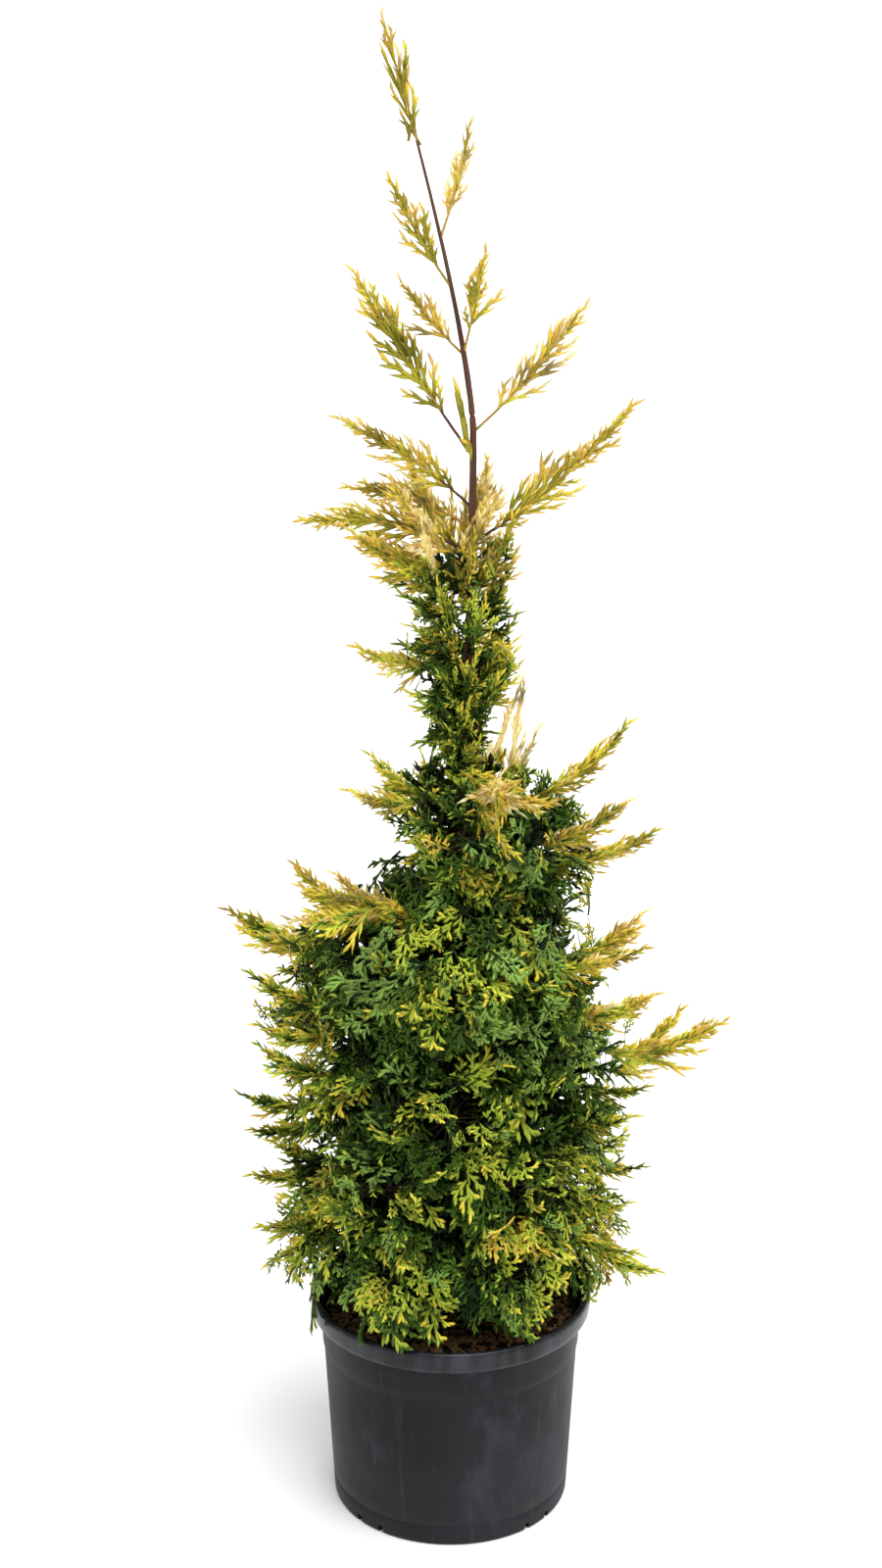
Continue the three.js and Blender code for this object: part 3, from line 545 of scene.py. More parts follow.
def soil_material(name, dark, light):
    """Crumbs from dark to light, with darker fibres."""
    n = Nodes(name, 0.95, 0.15)
    crumbs = n.noise(260, 8, 0.7)
    base = n.ramp(crumbs, (0.35, dark), (0.6, light), (0.78, shade(light, 1.7)))
    n.feed(Base_Color=n.mix(n.spread(n.noise(110, 4, 0.6), 0, 0.7), base, shade(dark, 0.6)),
           Roughness=n.spread(crumbs, 0.98, 0.8))
    n.bump(crumbs, 0.9, 0.002)
    return n.material


def floor_material():
    """A matt white, faintly uneven."""
    n = Nodes("floor_matt_white", 0.9, 0.1)
    n.feed(Base_Color=n.ramp(n.noise(2, 3), (0.3, (0.985, 0.985, 0.985)), (0.7, (0.99, 0.99, 0.99))))
    return n.material


LEAVES = {kind: leaf_material(kind) for kind in KINDS}
BARK = bark_material("bark_young_red", (0.42, 0.25, 0.17), (0.36, 0.28, 0.22), 0.12)
STEM = bark_material("stem_dark_brown", (0.24, 0.17, 0.09), (0.19, 0.17, 0.09), 0.3)
TWIG = bark_material("twig_golden_brown", (0.76, 0.58, 0.26), (0.66, 0.58, 0.23), 0.3)


# Round limbs
def skin(body, foot, top):
    """A closed body from rings with as many points each, and a point at either end."""
    count, sides = body.shape[:2]
    j = np.arange(sides)
    k = (j + 1) % sides
    i = 2 + np.arange(count - 1)[:, None] * sides
    a, b, c, d = i + j, i + k, i + sides + k, i + sides + j
    sheet = np.stack([np.stack([a, b, c], -1), np.stack([a, c, d], -1)], 1).reshape(-1, 3)
    last = 2 + (count - 1) * sides
    ends = [np.stack([0 * j, 2 + k, 2 + j], -1), np.stack([0 * j + 1, last + j, last + k], -1)]
    return np.concatenate([[foot, top], body.reshape(-1, 3)]), np.concatenate([ends[0], sheet, ends[1]])


def tube(points, radii, sides, relief=1.0):
    """A closed limb round a line of points. relief multiplies the radius, ring by ring."""
    points = np.asarray(points, dtype=float)
    tangent = np.gradient(points, axis=0)
    tangent /= np.linalg.norm(tangent, axis=1)[:, None]
    across = np.cross(tangent, UP)
    upright = np.linalg.norm(across, axis=1) < 0.1
    across[upright] = np.cross(tangent[upright], [0.0, 1.0, 0.0])
    across /= np.linalg.norm(across, axis=1)[:, None]
    lift = np.cross(across, tangent)
    angles = round_angles(sides)
    ring = np.cos(angles)[:, None] * across[:, None, :] + np.sin(angles)[:, None] * lift[:, None, :]
    radii = np.asarray(radii, dtype=float)[:, None] * np.ones(sides) * relief
    return skin(points[:, None, :] + ring * radii[:, :, None], points[0], points[-1])


class Pile:
    """Verts and triangles of many closed bodies that become one mesh."""

    def __init__(self):
        self.points, self.faces, self.count = [], [], 0

    def add(self, verts, faces):
        self.points.append(verts)
        self.faces.append(faces + self.count)
        self.count += len(verts)

    def build(self, name, material, smooth=True):
        return mesh_object(name, np.concatenate(self.points), np.concatenate(self.faces), material, smooth)


# One finger of a spray: a flat-bottomed blade of even width with a ridge, ending in a blunt tip
FINGER_POINTS = 7
FINGER_FACES = np.array([
    (0, 1, 2), (0, 3, 4), (0, 4, 1), (1, 4, 5), (1, 5, 2),
    (2, 5, 3), (2, 3, 0), (3, 6, 4), (4, 6, 5), (5, 6, 3),
])


def finger(root, heading, length, width, thick, belt=0.72, lift=0.0, neck=0.8):
    """The points of a finger that lies in the XY plane of its spray. Its neck is a share of its width."""
    c, s = math.cos(heading), math.sin(heading)
    along = np.array([c, s, lift])
    side = np.array([-s, c, 0.0]) * width / 2
    middle = root + along * length * belt
    return [
        root + side * neck,
        root - side * neck,
        root + UP * thick * neck,
        middle + side,
        middle - side,
        middle + UP * thick,
        root + along * length,
    ]


def walk(start, angle, length, steps, bend):
    """Where each of the equal steps of a bending line begins, and its heading."""
    trail = []
    for _ in range(steps):
        trail.append((start, angle))
        start = start + flat(angle) * (length / steps)
        angle += bend / steps
    return trail


def on_walk(trail, step, share):
    """The point a share along a walk with steps of a length, and the heading there."""
    part = min(len(trail) - 1, int(share * len(trail)))
    start, angle = trail[part]
    return start + flat(angle) * step * (share * len(trail) - part), angle


def branchlet(random, fingers, ranks, root, heading, length, reach, size, width, turn):
    """A branchlet that bends by turn and carries fingers on both sides. reach is its rank at its foot and
    at its end, where rank is 0 at the foot of the spray and 1 at its tips."""
    steps = 2 if length > 1.3 * size else 1
    step = length / steps
    trail = walk(np.array([root[0], root[1], 0.0]), heading, length, steps, turn)
    for k, (place, angle) in enumerate(trail):
        longer, wider = (1.0, 0.95) if k == steps - 1 else (1.15, 0.9)
        fingers.append(finger(place, angle, step * longer, width * wider, width * 0.5, 0.7, 0.0, 0.9))
        ranks.append(lerp(*reach, (k + 0.6) / steps))
    count = max(0, round(length / (size * 0.38)) - 1)
    for k in range(count):
        s = (k + 0.5 + 0.25 * random()) / (count + 0.8)
        at, forward = on_walk(trail, step, s)
        side = 1 if k % 2 else -1
        opening = math.radians(lerp(46, 28, s) + 14 * (random() - 0.5))
        long = size * lerp(1.0, 0.66, s) * (0.75 + 0.4 * random())
        fingers.append(finger(at, forward + side * opening, long, width, width * 0.5, 0.68,
                              0.16 * (random() - 0.5), 0.75))
        ranks.append(lerp(*reach, 0.35 + 0.65 * s))


def spray_template(seed, length, spacing, size, width, widest, opening, shape):
    """A flat spray of a length in millimetres, with branchlets every spacing on both sides in turn. size
    and width are those of its fingers, widest is the longest branchlet's share of the length, and opening
    the angles at which branchlets leave near its foot and near its tip."""
    random = seeded(seed)
    fingers, ranks = [], []
    bend = 0.5 * (random() - 0.5)
    steps = max(2, round(length / 18))
    step = length / steps
    trail = walk(np.zeros(3), -bend / 2, length, steps, bend)
    for k, (place, angle) in enumerate(trail):
        longer = 1.0 if k == steps - 1 else 1.12
        fingers.append(finger(place, angle, step * longer, width * 0.95, width * 0.55, 0.75, 0.0, 0.95))
        ranks.append((k + 0.3) / steps * 0.85)
    count = max(3, round(length / spacing))
    for k in range(count):
        s = 0.08 + 0.86 * (k + 0.4 * random()) / count
        at, forward = on_walk(trail, step, s)
        side = 1 if k % 2 else -1
        taper = (1 - s) ** shape * min(1.0, 0.5 + 3.5 * s)
        long = (widest * length * taper + size * 0.55) * (0.75 + 0.45 * random())
        heading = forward + side * math.radians(lerp(*opening, s) + 12 * (random() - 0.5))
        first = len(fingers)
        branchlet(random, fingers, ranks, at, heading, long, (0.2 + 0.6 * s, 0.8 + 0.2 * s), size, width,
                  -side * 0.3)
        # each branchlet rises or dips out of the spray's plane
        slope, curve = 0.7 * (random() - 0.5), 0.9 * (random() - 0.6)
        for points in fingers[first:]:
            for point in points:
                out = math.hypot(point[0] - at[0], point[1] - at[1])
                point[2] += slope * out + curve * out * out / length
    return np.array(fingers), np.array(ranks), length


def feather_template(seed, length, size, width, apart, opening):
    """A straight slim branchlet with pointed fingers every apart, lying forward on both sides in turn."""
    random = seeded(seed)
    fingers, ranks = [], []
    bend = 0.24 * (random() - 0.5)
    step = length / 2
    trail = walk(np.zeros(3), -bend / 2, length, 2, 2 * bend)
    for k, (place, angle) in enumerate(trail):
        longer, belt = (1.0, 0.45) if k else (1.3, 0.75)
        fingers.append(finger(place, angle, step * longer, width * (1.1 - 0.1 * k), width * 0.55, belt,
                              0.0, 0.9))
        ranks.append(0.15 + 0.5 * k)
    count = round(length / apart)
    for k in range(count):
        s = (k + 0.3 + 0.4 * random()) / count * 0.92
        at, forward = on_walk(trail, step, s)
        side = 1 if k % 2 else -1
        turn = math.radians(lerp(*opening, s) + 12 * (random() - 0.5))
        long = size * lerp(1.0, 0.7, s) * (0.75 + 0.45 * random())
        fingers.append(finger(at, forward + side * turn, long, width, width * 0.5, 0.42,
                              0.12 * (random() - 0.5), 0.85))
        ranks.append(0.25 + 0.7 * s + 0.1 * random())
    return np.array(fingers), np.array(ranks), FEATHER


# The kinds of spray: broad fans for the bush, slim feathers for plumes, coarse ones for the dark inside,
# whose darkness is painted shade
FEATHER = 32  # the length at which a feather keeps the size it was made in
FANS = [spray_template(100 + k, 66, 10.4, 14.6, 4.6, 0.38, (54, 36), 0.7) for k in range(8)]
SMALL_FANS = [spray_template(200 + k, 42, 7.4, 9.6, 3.2, 0.36, (50, 32), 0.7) for k in range(6)]
FEATHERS = [feather_template(300 + k, 33, 16.0, 3.3, 6.8, (28, 19)) for k in range(8)]
WISPS = [feather_template(350 + k, 32, 15.0, 2.8, 9.5, (28, 20)) for k in range(6)]
COARSE = [spray_template(400 + k, 66, 16, 24, 9.0, 0.34, (60, 40), 0.6) for k in range(3)]


class Leaves:
    """All fingers of the plant, each with its kind."""

    def __init__(self):
        self.points, self.kinds = [], []
        self.random = np.random.default_rng(7)

    def spray(self, template, root, direction, normal, length, kind, curl, reach, wider=1.0):
        """Places a spray. It curls out of its plane like a hanging fan, and reach says how far out its
        first and its second kind of leaf go."""
        points, ranks, nominal = template
        side = np.cross(normal, direction)
        p = points * (length / nominal)
        p[..., 1:] *= wider
        p[..., 2] -= curl * length * (p[..., 0] / length) ** 2
        foot, middle, tip = (KINDS.index(name) for name in SPRAYS[kind])
        ranks = ranks + self.random.normal(0, 0.06, len(ranks))
        self.points.append(root + p[..., :1] * direction + p[..., 1:2] * side + p[..., 2:] * normal)
        self.kinds.append(np.where(ranks < reach[0], foot, np.where(ranks < reach[1], middle, tip)))

    def build(self):
        points = np.concatenate(self.points)
        kinds = np.concatenate(self.kinds)
        made = []
        for index, kind in enumerate(KINDS):
            mine = points[kinds == index]
            chunks = max(1, math.ceil(len(mine) / MOST_FINGERS))
            for k, chunk in enumerate(np.array_split(mine, chunks)):
                faces = FINGER_FACES + FINGER_POINTS * np.arange(len(chunk))[:, None, None]
                name = f"leaves_{kind}_{k + 1}"
                made.append((kind, mesh_object(name, chunk, faces.reshape(-1, 3), LEAVES[kind])))
        return made


def clear_of_pot(p):
    """True above the rim, outside it, or inside it above the soil."""
    r = math.hypot(p[0], p[1])
    above_soil = r < SOIL["edge"] - 4.4 and p[2] > SOIL["crown_height"] + 2
    return p[2] > POT["height"] + 3 or r > POT["rim"] + 2 or above_soil


def pick(random, mix):
    """One of the names of a mix, each as often as its weight says."""
    at = random() * sum(mix.values())
    for name, weight in mix.items():
        at -= weight
        if at <= 0:
            return name
    return name


class Bough:
    """A row of the table: its curve, its length and where its leaves begin."""

    def __init__(self, core, droop, row, seed):
        self.at, self.heading, self.reach, self.rise, self.bow, bare, self.span, self.tint, self.limb = row
        self.core, self.droop, self.seed = core, droop, seed
        self.base = trunk_point(self.at)
        self.out = heading_of(self.heading)
        steps = [self.centre(i / 200) for i in range(201)]
        walked = np.concatenate([[0], np.cumsum(np.linalg.norm(np.diff(steps, axis=0), axis=1))])
        self.length = walked[-1]
        self.start = float(np.searchsorted(walked, bare)) / 200
        self.core_from = lerp(self.start, 1, 0.04)

    def centre(self, t):
        return self.base + self.out * self.reach * t + UP * (self.rise * t + self.bow * 4 * t * (1 - t))

    def core_radius(self, t):
        share = (t - self.core_from) / (0.9 - self.core_from)
        if share < 0 or share > 1:
            return 0.0
        return self.core * math.sin(math.pi * (0.06 + 0.86 * share ** 1.25)) ** 0.7


BOUGHS = []
for core, droop, rows in GROUPS:
    for row in rows:
        BOUGHS.append(Bough(core, droop, row, len(BOUGHS) + 1))


leaves = Leaves()
twigs, golden_twigs = Pile(), Pile()


def add_twig(foot, tip):
    """A thin brown stem that carries a fan."""
    twigs.add(*tube([foot, lerp(foot, tip, 0.5), tip], [0.8, 0.56, 0.32], 3))


def frame_at(centre, t, near):
    """The tangent of a curve at t, the level direction across it, and the direction up from both."""
    tangent = unit(centre(min(1, t + near)) - centre(max(0, t - near)))
    across = unit(np.cross(tangent, UP))
    return tangent, across, np.cross(across, tangent)


def crown_reach(z, heading):
    """How far the dense crown reaches from the trunk at a height, in a direction in radians."""
    heights, lefts, rights = zip(*CROWN)
    left, right = np.interp(z, heights, lefts), np.interp(z, heights, rights)
    side = right if math.cos(heading) > 0 else left
    share = abs(math.cos(heading)) ** 1.5
    rough = roughness(math.cos(heading) * 2.2, math.sin(heading) * 2.2, z * 0.022)
    return lerp(min((left + right) / 2, DEPTH), side, share) * (1 + CROWN_ROUGHNESS * 2 * rough)


def exposure(p):
    """How far out a point is, as a share of the crown's reach there."""
    x, y = p[:2] - trunk_point(p[2])[:2]
    return math.hypot(x, y) / max(20.0, crown_reach(p[2], math.atan2(y, x)))


def grow_plume(centre, start, length, span, seed, tint, turn, droop=0.0, spacing=6.4, templates=FEATHERS):
    """Slim feathers in turn on both sides of a stem, the longest near its foot, and more along it."""
    random = seeded(seed)
    count = max(6, round(length * (1 - start) / spacing))
    tip_length = 24
    for k in range(count + 1):
        last, beside = k == count, k % 4 == 3
        share = min(1.0, (k + 0.3 + 0.4 * random()) / count)
        t = lerp(start, 1 - tip_length / length, share)
        tangent, across, lift = frame_at(centre, t, 0.02)
        roll = math.radians(turn + (180 if k % 2 else 0) + 36 * (random() * 2 - 1))
        lean = math.radians(lerp(30, 12, share) + 14 * (random() - 0.5)) * (0.3 if beside else 1.0)
        lean = (0.04 if last else lean) * (0.62 if templates is WISPS else 1.0)
        sideways = across * math.cos(roll) + lift * math.sin(roll)
        direction = unit(tangent * math.cos(lean) + sideways * math.sin(lean) - UP * droop * (1 - share))
        normal = turned(unit(np.cross(tangent, direction)), direction, math.radians(50 * (random() - 0.5)))
        long = span * (1 - 0.5 * share) * min(1.0, 0.6 + 3 * share) * (0.65 + 0.5 * random())
        if beside:
            long = 20 + 10 * random()
        long = tip_length + 13 if last else min(long, (1 - t) * length + 4)
        kind = pick(random, PLUMES[tint])
        leaves.spray(one_of(templates, random()), centre(t), direction, normal, long, kind, 0.05,
                     (0.25, 0.7), min(1.3, max(0.8, 30 / long)))


def fits(root, direction, normal, length, furthest):
    """True where a fan stays in the crown and clear of the pot and the trunk."""
    side = np.cross(normal, direction)
    for along, across in ((1.0, 0.0), (0.6, 0.35), (0.6, -0.35), (0.3, 0.3), (0.3, -0.3)):
        p = root + direction * length * along + side * length * across
        if not clear_of_pot(p) or not FRONT < p[1] < BACK:
            return False
        axis = trunk_point(p[2])
        if math.hypot(p[0] - axis[0], p[1] - axis[1]) < trunk_radius(p[2]) + 2:
            return False
    return exposure(root + direction * length) < furthest


def bush_sprays(bough):
    """Twigs all round the stem of a dense mass, each with fans that lie over the mass like shingles."""
    random = seeded(bough.seed)
    big = bough.core > 30
    twigs_per_mm = 0.34 if big else 0.4
    count = round(bough.length * (1 - bough.start) * twigs_per_mm)
    found = []
    for i in range(count):
        share = (i + 0.5) / count
        t = lerp(bough.start, 1, share * 0.97)
        tangent, across, lift = frame_at(bough.centre, t, 0.01)
        roll = math.radians(bough.seed * 40 + i * 137.5 + 24 * (random() * 2 - 1))
        sideways = across * math.cos(roll) + lift * math.sin(roll)
        around = np.cross(tangent, sideways)
        stand = max(bough.core_radius(t), 8.0) * lerp(0.7, 1.15, random())
        foot = bough.centre(t)
        top = foot + sideways * stand * 0.8 + tangent * stand * 0.25
        for k, spread in enumerate((0.0, 0.9, -0.9)):
            long = bough.span * lerp(1.15, 0.85, share) * (0.8 + 0.4 * random()) * (0.86 if k else 1.0)
            forward = lerp(1.0, 0.8, share) * lerp(0.5, 1.3, random())
            outwards = lerp(0.9, 0.7, share) * lerp(0.5, 1.2, random())
            spread *= 0.6 + 0.6 * random()
            direction = unit(sideways * outwards + tangent * forward + around * spread
                             - UP * bough.droop * (1.5 - share))
            if share > 0.8:
                direction = unit(direction + tangent * (0.9 + 0.8 * random()) - UP * 0.2)
            root = lerp(foot, top, 0.7 + 0.3 * random() if k else 1.0)
            normal = facing(sideways * 0.6 + bough.out * 0.8 + UP * 0.35, direction,
                            math.radians(70 * (random() - 0.5)))
            furthest = 1.0 + (0.14 if share < 0.8 else 0.2) * random() ** 2
            tries = 0
            while tries < 5 and not fits(root, direction, normal, long, furthest):
                long *= 0.84
                tries += 1
            if tries == 5:
                continue
            chance = [random() for _ in range(4)]
            found.append({
                "tint": bough.tint, "foot": foot, "root": root, "direction": direction, "normal": normal,
                "long": long, "seen": exposure(root + direction * long * 0.8), "chance": chance,
                "share": share, "big": big, "middle": root + direction * long * 0.55,
            })
    return found


# What a fan is like by its exposure: left out, coarse, dark, and half dark, each below its value; the dark
# kinds given further in are painted shade
LEFT_OUT, ROUGH, PAINTED_SHADE, PAINTED_HALF_SHADE = 0.35, 0.6, 0.76, 0.88
# How far apart fans stand on the big masses, and on the small ones below and above the neck
APART_BIG, APART_SMALL, APART_TOP, NECK = 14.5, 10.0, 16.5, 900


def look_of(p, seen):
    """The mix of the patch of the front that a point shows in, if it lies in one."""
    if p[1] > 20 or seen < 0.8:
        return None
    far = EYE["distance"] / (EYE["distance"] + p[1])
    x = EYE["x"] + (p[0] - EYE["x"]) * far
    z = EYE["height"] + (p[2] - EYE["height"]) * far
    for patch_x, patch_z, wide, high, look in PATCHES:
        if ((x - patch_x) / wide) ** 2 + ((z - patch_z) / high) ** 2 < 1:
            return LOOKS[look]
    return None


def spray_kind(spray):
    """The kind of a fan, by the tint of its mass, how far out it is and the patch that it shows in. Fans
    further in take the inside and under looks, which are painted shade.
    """
    tint, seen = spray["tint"], spray["seen"]
    mix = MIXES[tint]
    if seen < PAINTED_SHADE:
        mix = LOOKS["inside"]
    elif seen < PAINTED_HALF_SHADE:
        mix = LOOKS["under"]
    elif tint in ("gold", "olive") and spray["share"] < 0.55:
        mix = MIXES["green"]
    return pick(lambda: spray["chance"][0], look_of(spray["middle"], seen) or mix)


def grow_crown():
    """Fans from every dense mass, the outermost first, each a little way off from those already there."""
    found = [spray for bough in BOUGHS if bough.core for spray in bush_sprays(bough)]
    found.sort(key=lambda spray: -spray["seen"] * (0.85 + 0.3 * spray["chance"][1]))
    taken = np.full((1, 3), np.inf)
    for spray in found:
        seen, chance = spray["seen"], spray["chance"]
        apart = APART_BIG if spray["big"] else APART_SMALL if spray["middle"][2] < NECK else APART_TOP
        apart *= 1.0 if seen > 0.7 else 1.5
        if seen < LEFT_OUT or np.min(np.sum((taken - spray["middle"]) ** 2, axis=1)) < apart ** 2:
            continue
        taken = np.vstack([taken, spray["middle"]])
        # the coarse fans furthest in are the darkest kind: painted shade
        templates, kind = COARSE, "darkest"
        if seen > ROUGH:
            templates = FANS if spray["big"] else SMALL_FANS
            kind = spray_kind(spray)
        leaves.spray(one_of(templates, chance[2]), spray["root"], spray["direction"], spray["normal"],
                     spray["long"], kind, 0.08 + 0.26 * chance[3], (0.48, 0.83 if seen > 0.9 else 0.88))
        add_twig(spray["foot"], spray["root"])


def fill_inside():
    """Dark coarse sprays round the trunk, which close the crown's inside with painted shade."""
    random = seeded(555)
    z, top = 236.0, 1010
    while z < top:
        heading = random() * 2 * math.pi
        reach = crown_reach(z, heading)
        direction = unit(flat(heading) + UP * (0.25 + 0.7 * random()))
        long = min(66.0, reach * 0.55)
        root = trunk_point(z) + direction * reach * 0.34 * random()
        side = np.cross(direction, UP)
        normal = turned(unit(np.cross(side, direction)), direction, 2.4 * (random() - 0.5))
        tip = root + direction * long
        if clear_of_pot(tip) and clear_of_pot(root) and exposure(tip) < 0.85 and exposure(root) < 0.6:
            leaves.spray(one_of(COARSE, random()), root, direction, normal, long, "deep", 0.1, (0.5, 0.85))
        z += 1.0 if z < 700 else 3.0 if z < 920 else 6.0


def dress_body():
    """Hanging fans over the front and the back of the body, where the crown steps in below its middle."""
    random = seeded(333)
    bottom, height, count = 555, 195, 170
    for k in range(count):
        z = bottom + height * (k + random()) / count
        heading = math.radians((270 if k % 3 else 90) + 130 * (random() - 0.5))
        out = flat(heading)
        side = np.cross(UP, out)
        long = 40 + 20 * random()
        direction = unit(out * (0.5 + 0.4 * random()) - UP * (0.1 + 0.6 * random())
                         + side * 1.6 * (random() - 0.5))
        tip = trunk_point(z) + out * crown_reach(z, heading) * (0.9 + 0.14 * random())
        root = tip - direction * long
        normal = facing(out * 0.7 + UP * 0.7, direction, 0.9 * (random() - 0.5))
        kind = pick(random, look_of(tip, 1.0) or LOOKS["cool"])
        bend = 0.1 + 0.2 * random()
        if not FRONT < tip[1] < BACK or exposure(tip) > 1.1 or abs(out[0]) > 0.8:
            continue
        leaves.spray(FANS[k % len(FANS)], root, direction, normal, long, kind, bend, (0.46, 0.84))
        add_twig(trunk_point(root[2] - 30), root)


def clothe_trunk():
    """Fans that grow from the trunk itself, which hide it where the crown is slim."""
    random = seeded(777)
    z, top, count = 640.0, 1040, 0
    while z < top:
        heading = count * 2.4 + 0.7 * random()
        reach = crown_reach(z + 30, heading) * (0.75 + 0.25 * random())
        direction = unit(flat(heading) + UP * (0.5 + 0.8 * random()))
        long = min(34 + 26 * random(), reach * 0.9)
        root = trunk_point(z) + direction * max(3.0, reach * 1.1 - long)
        normal = facing(flat(heading) + UP * 0.35, direction, 1.3 * (random() - 0.5))
        kind = pick(random, LOOKS["column" if z > NECK + 5 else "neck"])
        z += 1.6 if z < NECK else 5.2
        count += 1
        while long > 22 and exposure(root + direction * long) > 1.08:
            long *= 0.88
            root = lerp(trunk_point(z), root, 0.88)
        leaves.spray(SMALL_FANS[count % len(SMALL_FANS)], root, direction, normal, long, kind,
                     0.2 * random(), (0.3, 0.8))
        add_twig(trunk_point(root[2] - 4), root)


grow_crown()
fill_inside()
dress_body()
clothe_trunk()
for bough in BOUGHS:
    if not bough.core:
        turn = 80 * abs(math.cos(math.radians(bough.heading)))
        start = bough.start * (0.55 if bough.at < 1100 else 0.9)
        spacing, wide = (7.8, 1.3) if bough.at > 1130 else (6.4, 1.02)
        grow_plume(bough.centre, start, bough.length, bough.span * wide, bough.seed, bough.tint, turn,
                   bough.droop, spacing)

# The leader's own tip runs on from the trunk
LEADER = TRUNK["top"] - 6
grow_plume(lambda t: trunk_point(lerp(LEADER, TRUNK["plant_top"] - 9, t)), 0.0, 118, 66, 51, "gold", 90,
           0.0, 17.0, WISPS)

# The single plumes. Those low down at the sides are moved to the front or the back of the middle along the
# sight lines, so that they look the same from the front.
SHIFTED_BELOW, SHIFT = 720, 190  # a height, and how deep they are spread
SHOOTS_ABOVE, FINE_ABOVE = 1160, 1300  # heights above which they are shoots of the leader, and fine ones
TOP_FROM = 1032  # from this height up a plume keeps the plain mix of its tint
sway = seeded(99)
for k, (x, y, z, heading, rise, length, tint) in enumerate(TUFTS):
    if abs(x) > 150 and z < SHIFTED_BELOW:
        shift = SHIFT * (sway() - 0.5)
        x = EYE["x"] + (x - EYE["x"]) * (1 + shift / EYE["distance"])
        z = z - shift * (EYE["height"] - z) / EYE["distance"]
        y, heading = y + shift, heading + math.copysign(0.24 * shift, -x)
    direction = heading_of(heading, rise)
    tip = np.array([x, y, z], dtype=float) - direction * 3
    foot = tip - direction * length

    def centre(t, foot=foot, tip=tip, length=length):
        return lerp(foot, tip, t) - UP * length * 0.12 * 4 * t * (1 - t)

    if z > SHOOTS_ABOVE:
        normal = unit(np.cross(direction, heading_of(heading + 80 - 50 * (k % 3))))
        leaves.spray(WISPS[k % len(WISPS)], foot, direction, normal, length, "bronze", 0.0, (0.25, 0.7),
                     0.8 if z > FINE_ABOVE else 1.7)
        continue
    golden_twigs.add(*tube([centre(0.94 * i / 10) for i in range(11)], np.linspace(1.3, 0.52, 11), 5))
    mix = {"gold": "golden", "olive": "mossy"}.get(tint, tint) if z < TOP_FROM else tint
    grow_plume(centre, 0.02, length, 26 + length * 0.24, 60 + k, mix, 80, 0.0, 4.8,
               WISPS if tint == "cream" else FEATHERS)

leaf_pieces = leaves.build()

# Limbs: the trunk with its bark, the boughs and the stems inside the masses
limbs = Pile()
rings = np.concatenate([np.linspace(TRUNK["foot"], 262, 22)[:-1], np.linspace(262, LEADER, 280)])
sides = 20
line = np.array([trunk_point(z) for z in rings])
angles = round_angles(sides)
relief = np.ones((len(rings), sides))
for i, z in enumerate(rings):
    lobe = 0.14 * math.exp(-(z - TRUNK["foot"]) / TRUNK["flare_height"])
    for j, a in enumerate(angles):
        rough = roughness(math.cos(a) * 2.2, math.sin(a) * 2.2, z * 0.035)
        fine = roughness(math.cos(a) * 5.5, math.sin(a) * 5.5, z * 0.10)
        relief[i, j] = 1 + 0.10 * rough + 0.06 * fine + lobe * math.cos(5 * a)
limbs.add(*tube(line, [trunk_radius(z) for z in rings], sides, relief))
for bough in BOUGHS:
    end = 0.96
    while bough.core and end > 0.3 and exposure(bough.centre(end)) > 0.68:
        end -= 0.04
    count = max(8, round(bough.length / 7))
    random = seeded(bough.seed + 900)
    relief = np.array([[0.88 + 0.24 * random() for _ in range(8)] for _ in range(count + 1)])
    line = [bough.centre(end * i / count) for i in range(count + 1)]
    thick, taper, change = bough.limb or 1.5 + bough.length / 260, 0.8, count
    if not bough.core:
        # a plume's stem is brown while it is bare and golden further out
        thick, taper = bough.limb * 0.8 or 1.6, 0.5
        change = round(bough.start * count) if bough.limb else 0
    radii = [lerp(thick, 0.7, (i / count) ** taper) for i in range(count + 1)]
    if change:
        limbs.add(*tube(line[:change + 1], radii[:change + 1], 8, relief[:change + 1]))
    if change < count:
        golden_twigs.add(*tube(line[change:], radii[change:], 8, relief[change:]))
leader_line = [trunk_point(z) for z in np.linspace(LEADER, TRUNK["plant_top"] - 16, 24)]
golden_twigs.add(*tube(leader_line, np.linspace(trunk_radius(LEADER) * 0.95, 0.6, 24), 8))
trunk_piece = limbs.build("trunk_and_boughs_bark", BARK)
twig_piece = twigs.build("twigs_brown", STEM)
golden_piece = golden_twigs.build("twigs_golden", TWIG)


# The pot: a turned profile, with the drain slots cut round its foot
def lathe(profile, sides):
    """A closed turned body from (radius, height) pairs that begin and end on the axis."""
    angles = round_angles(sides)
    ring = np.stack([np.cos(angles), np.sin(angles), 0 * angles], -1)
    inner = np.array(profile[1:-1], dtype=float)[:, :, None, None]
    return skin(inner[:, 0] * ring + inner[:, 1] * UP, UP * profile[0][1], UP * profile[-1][1])


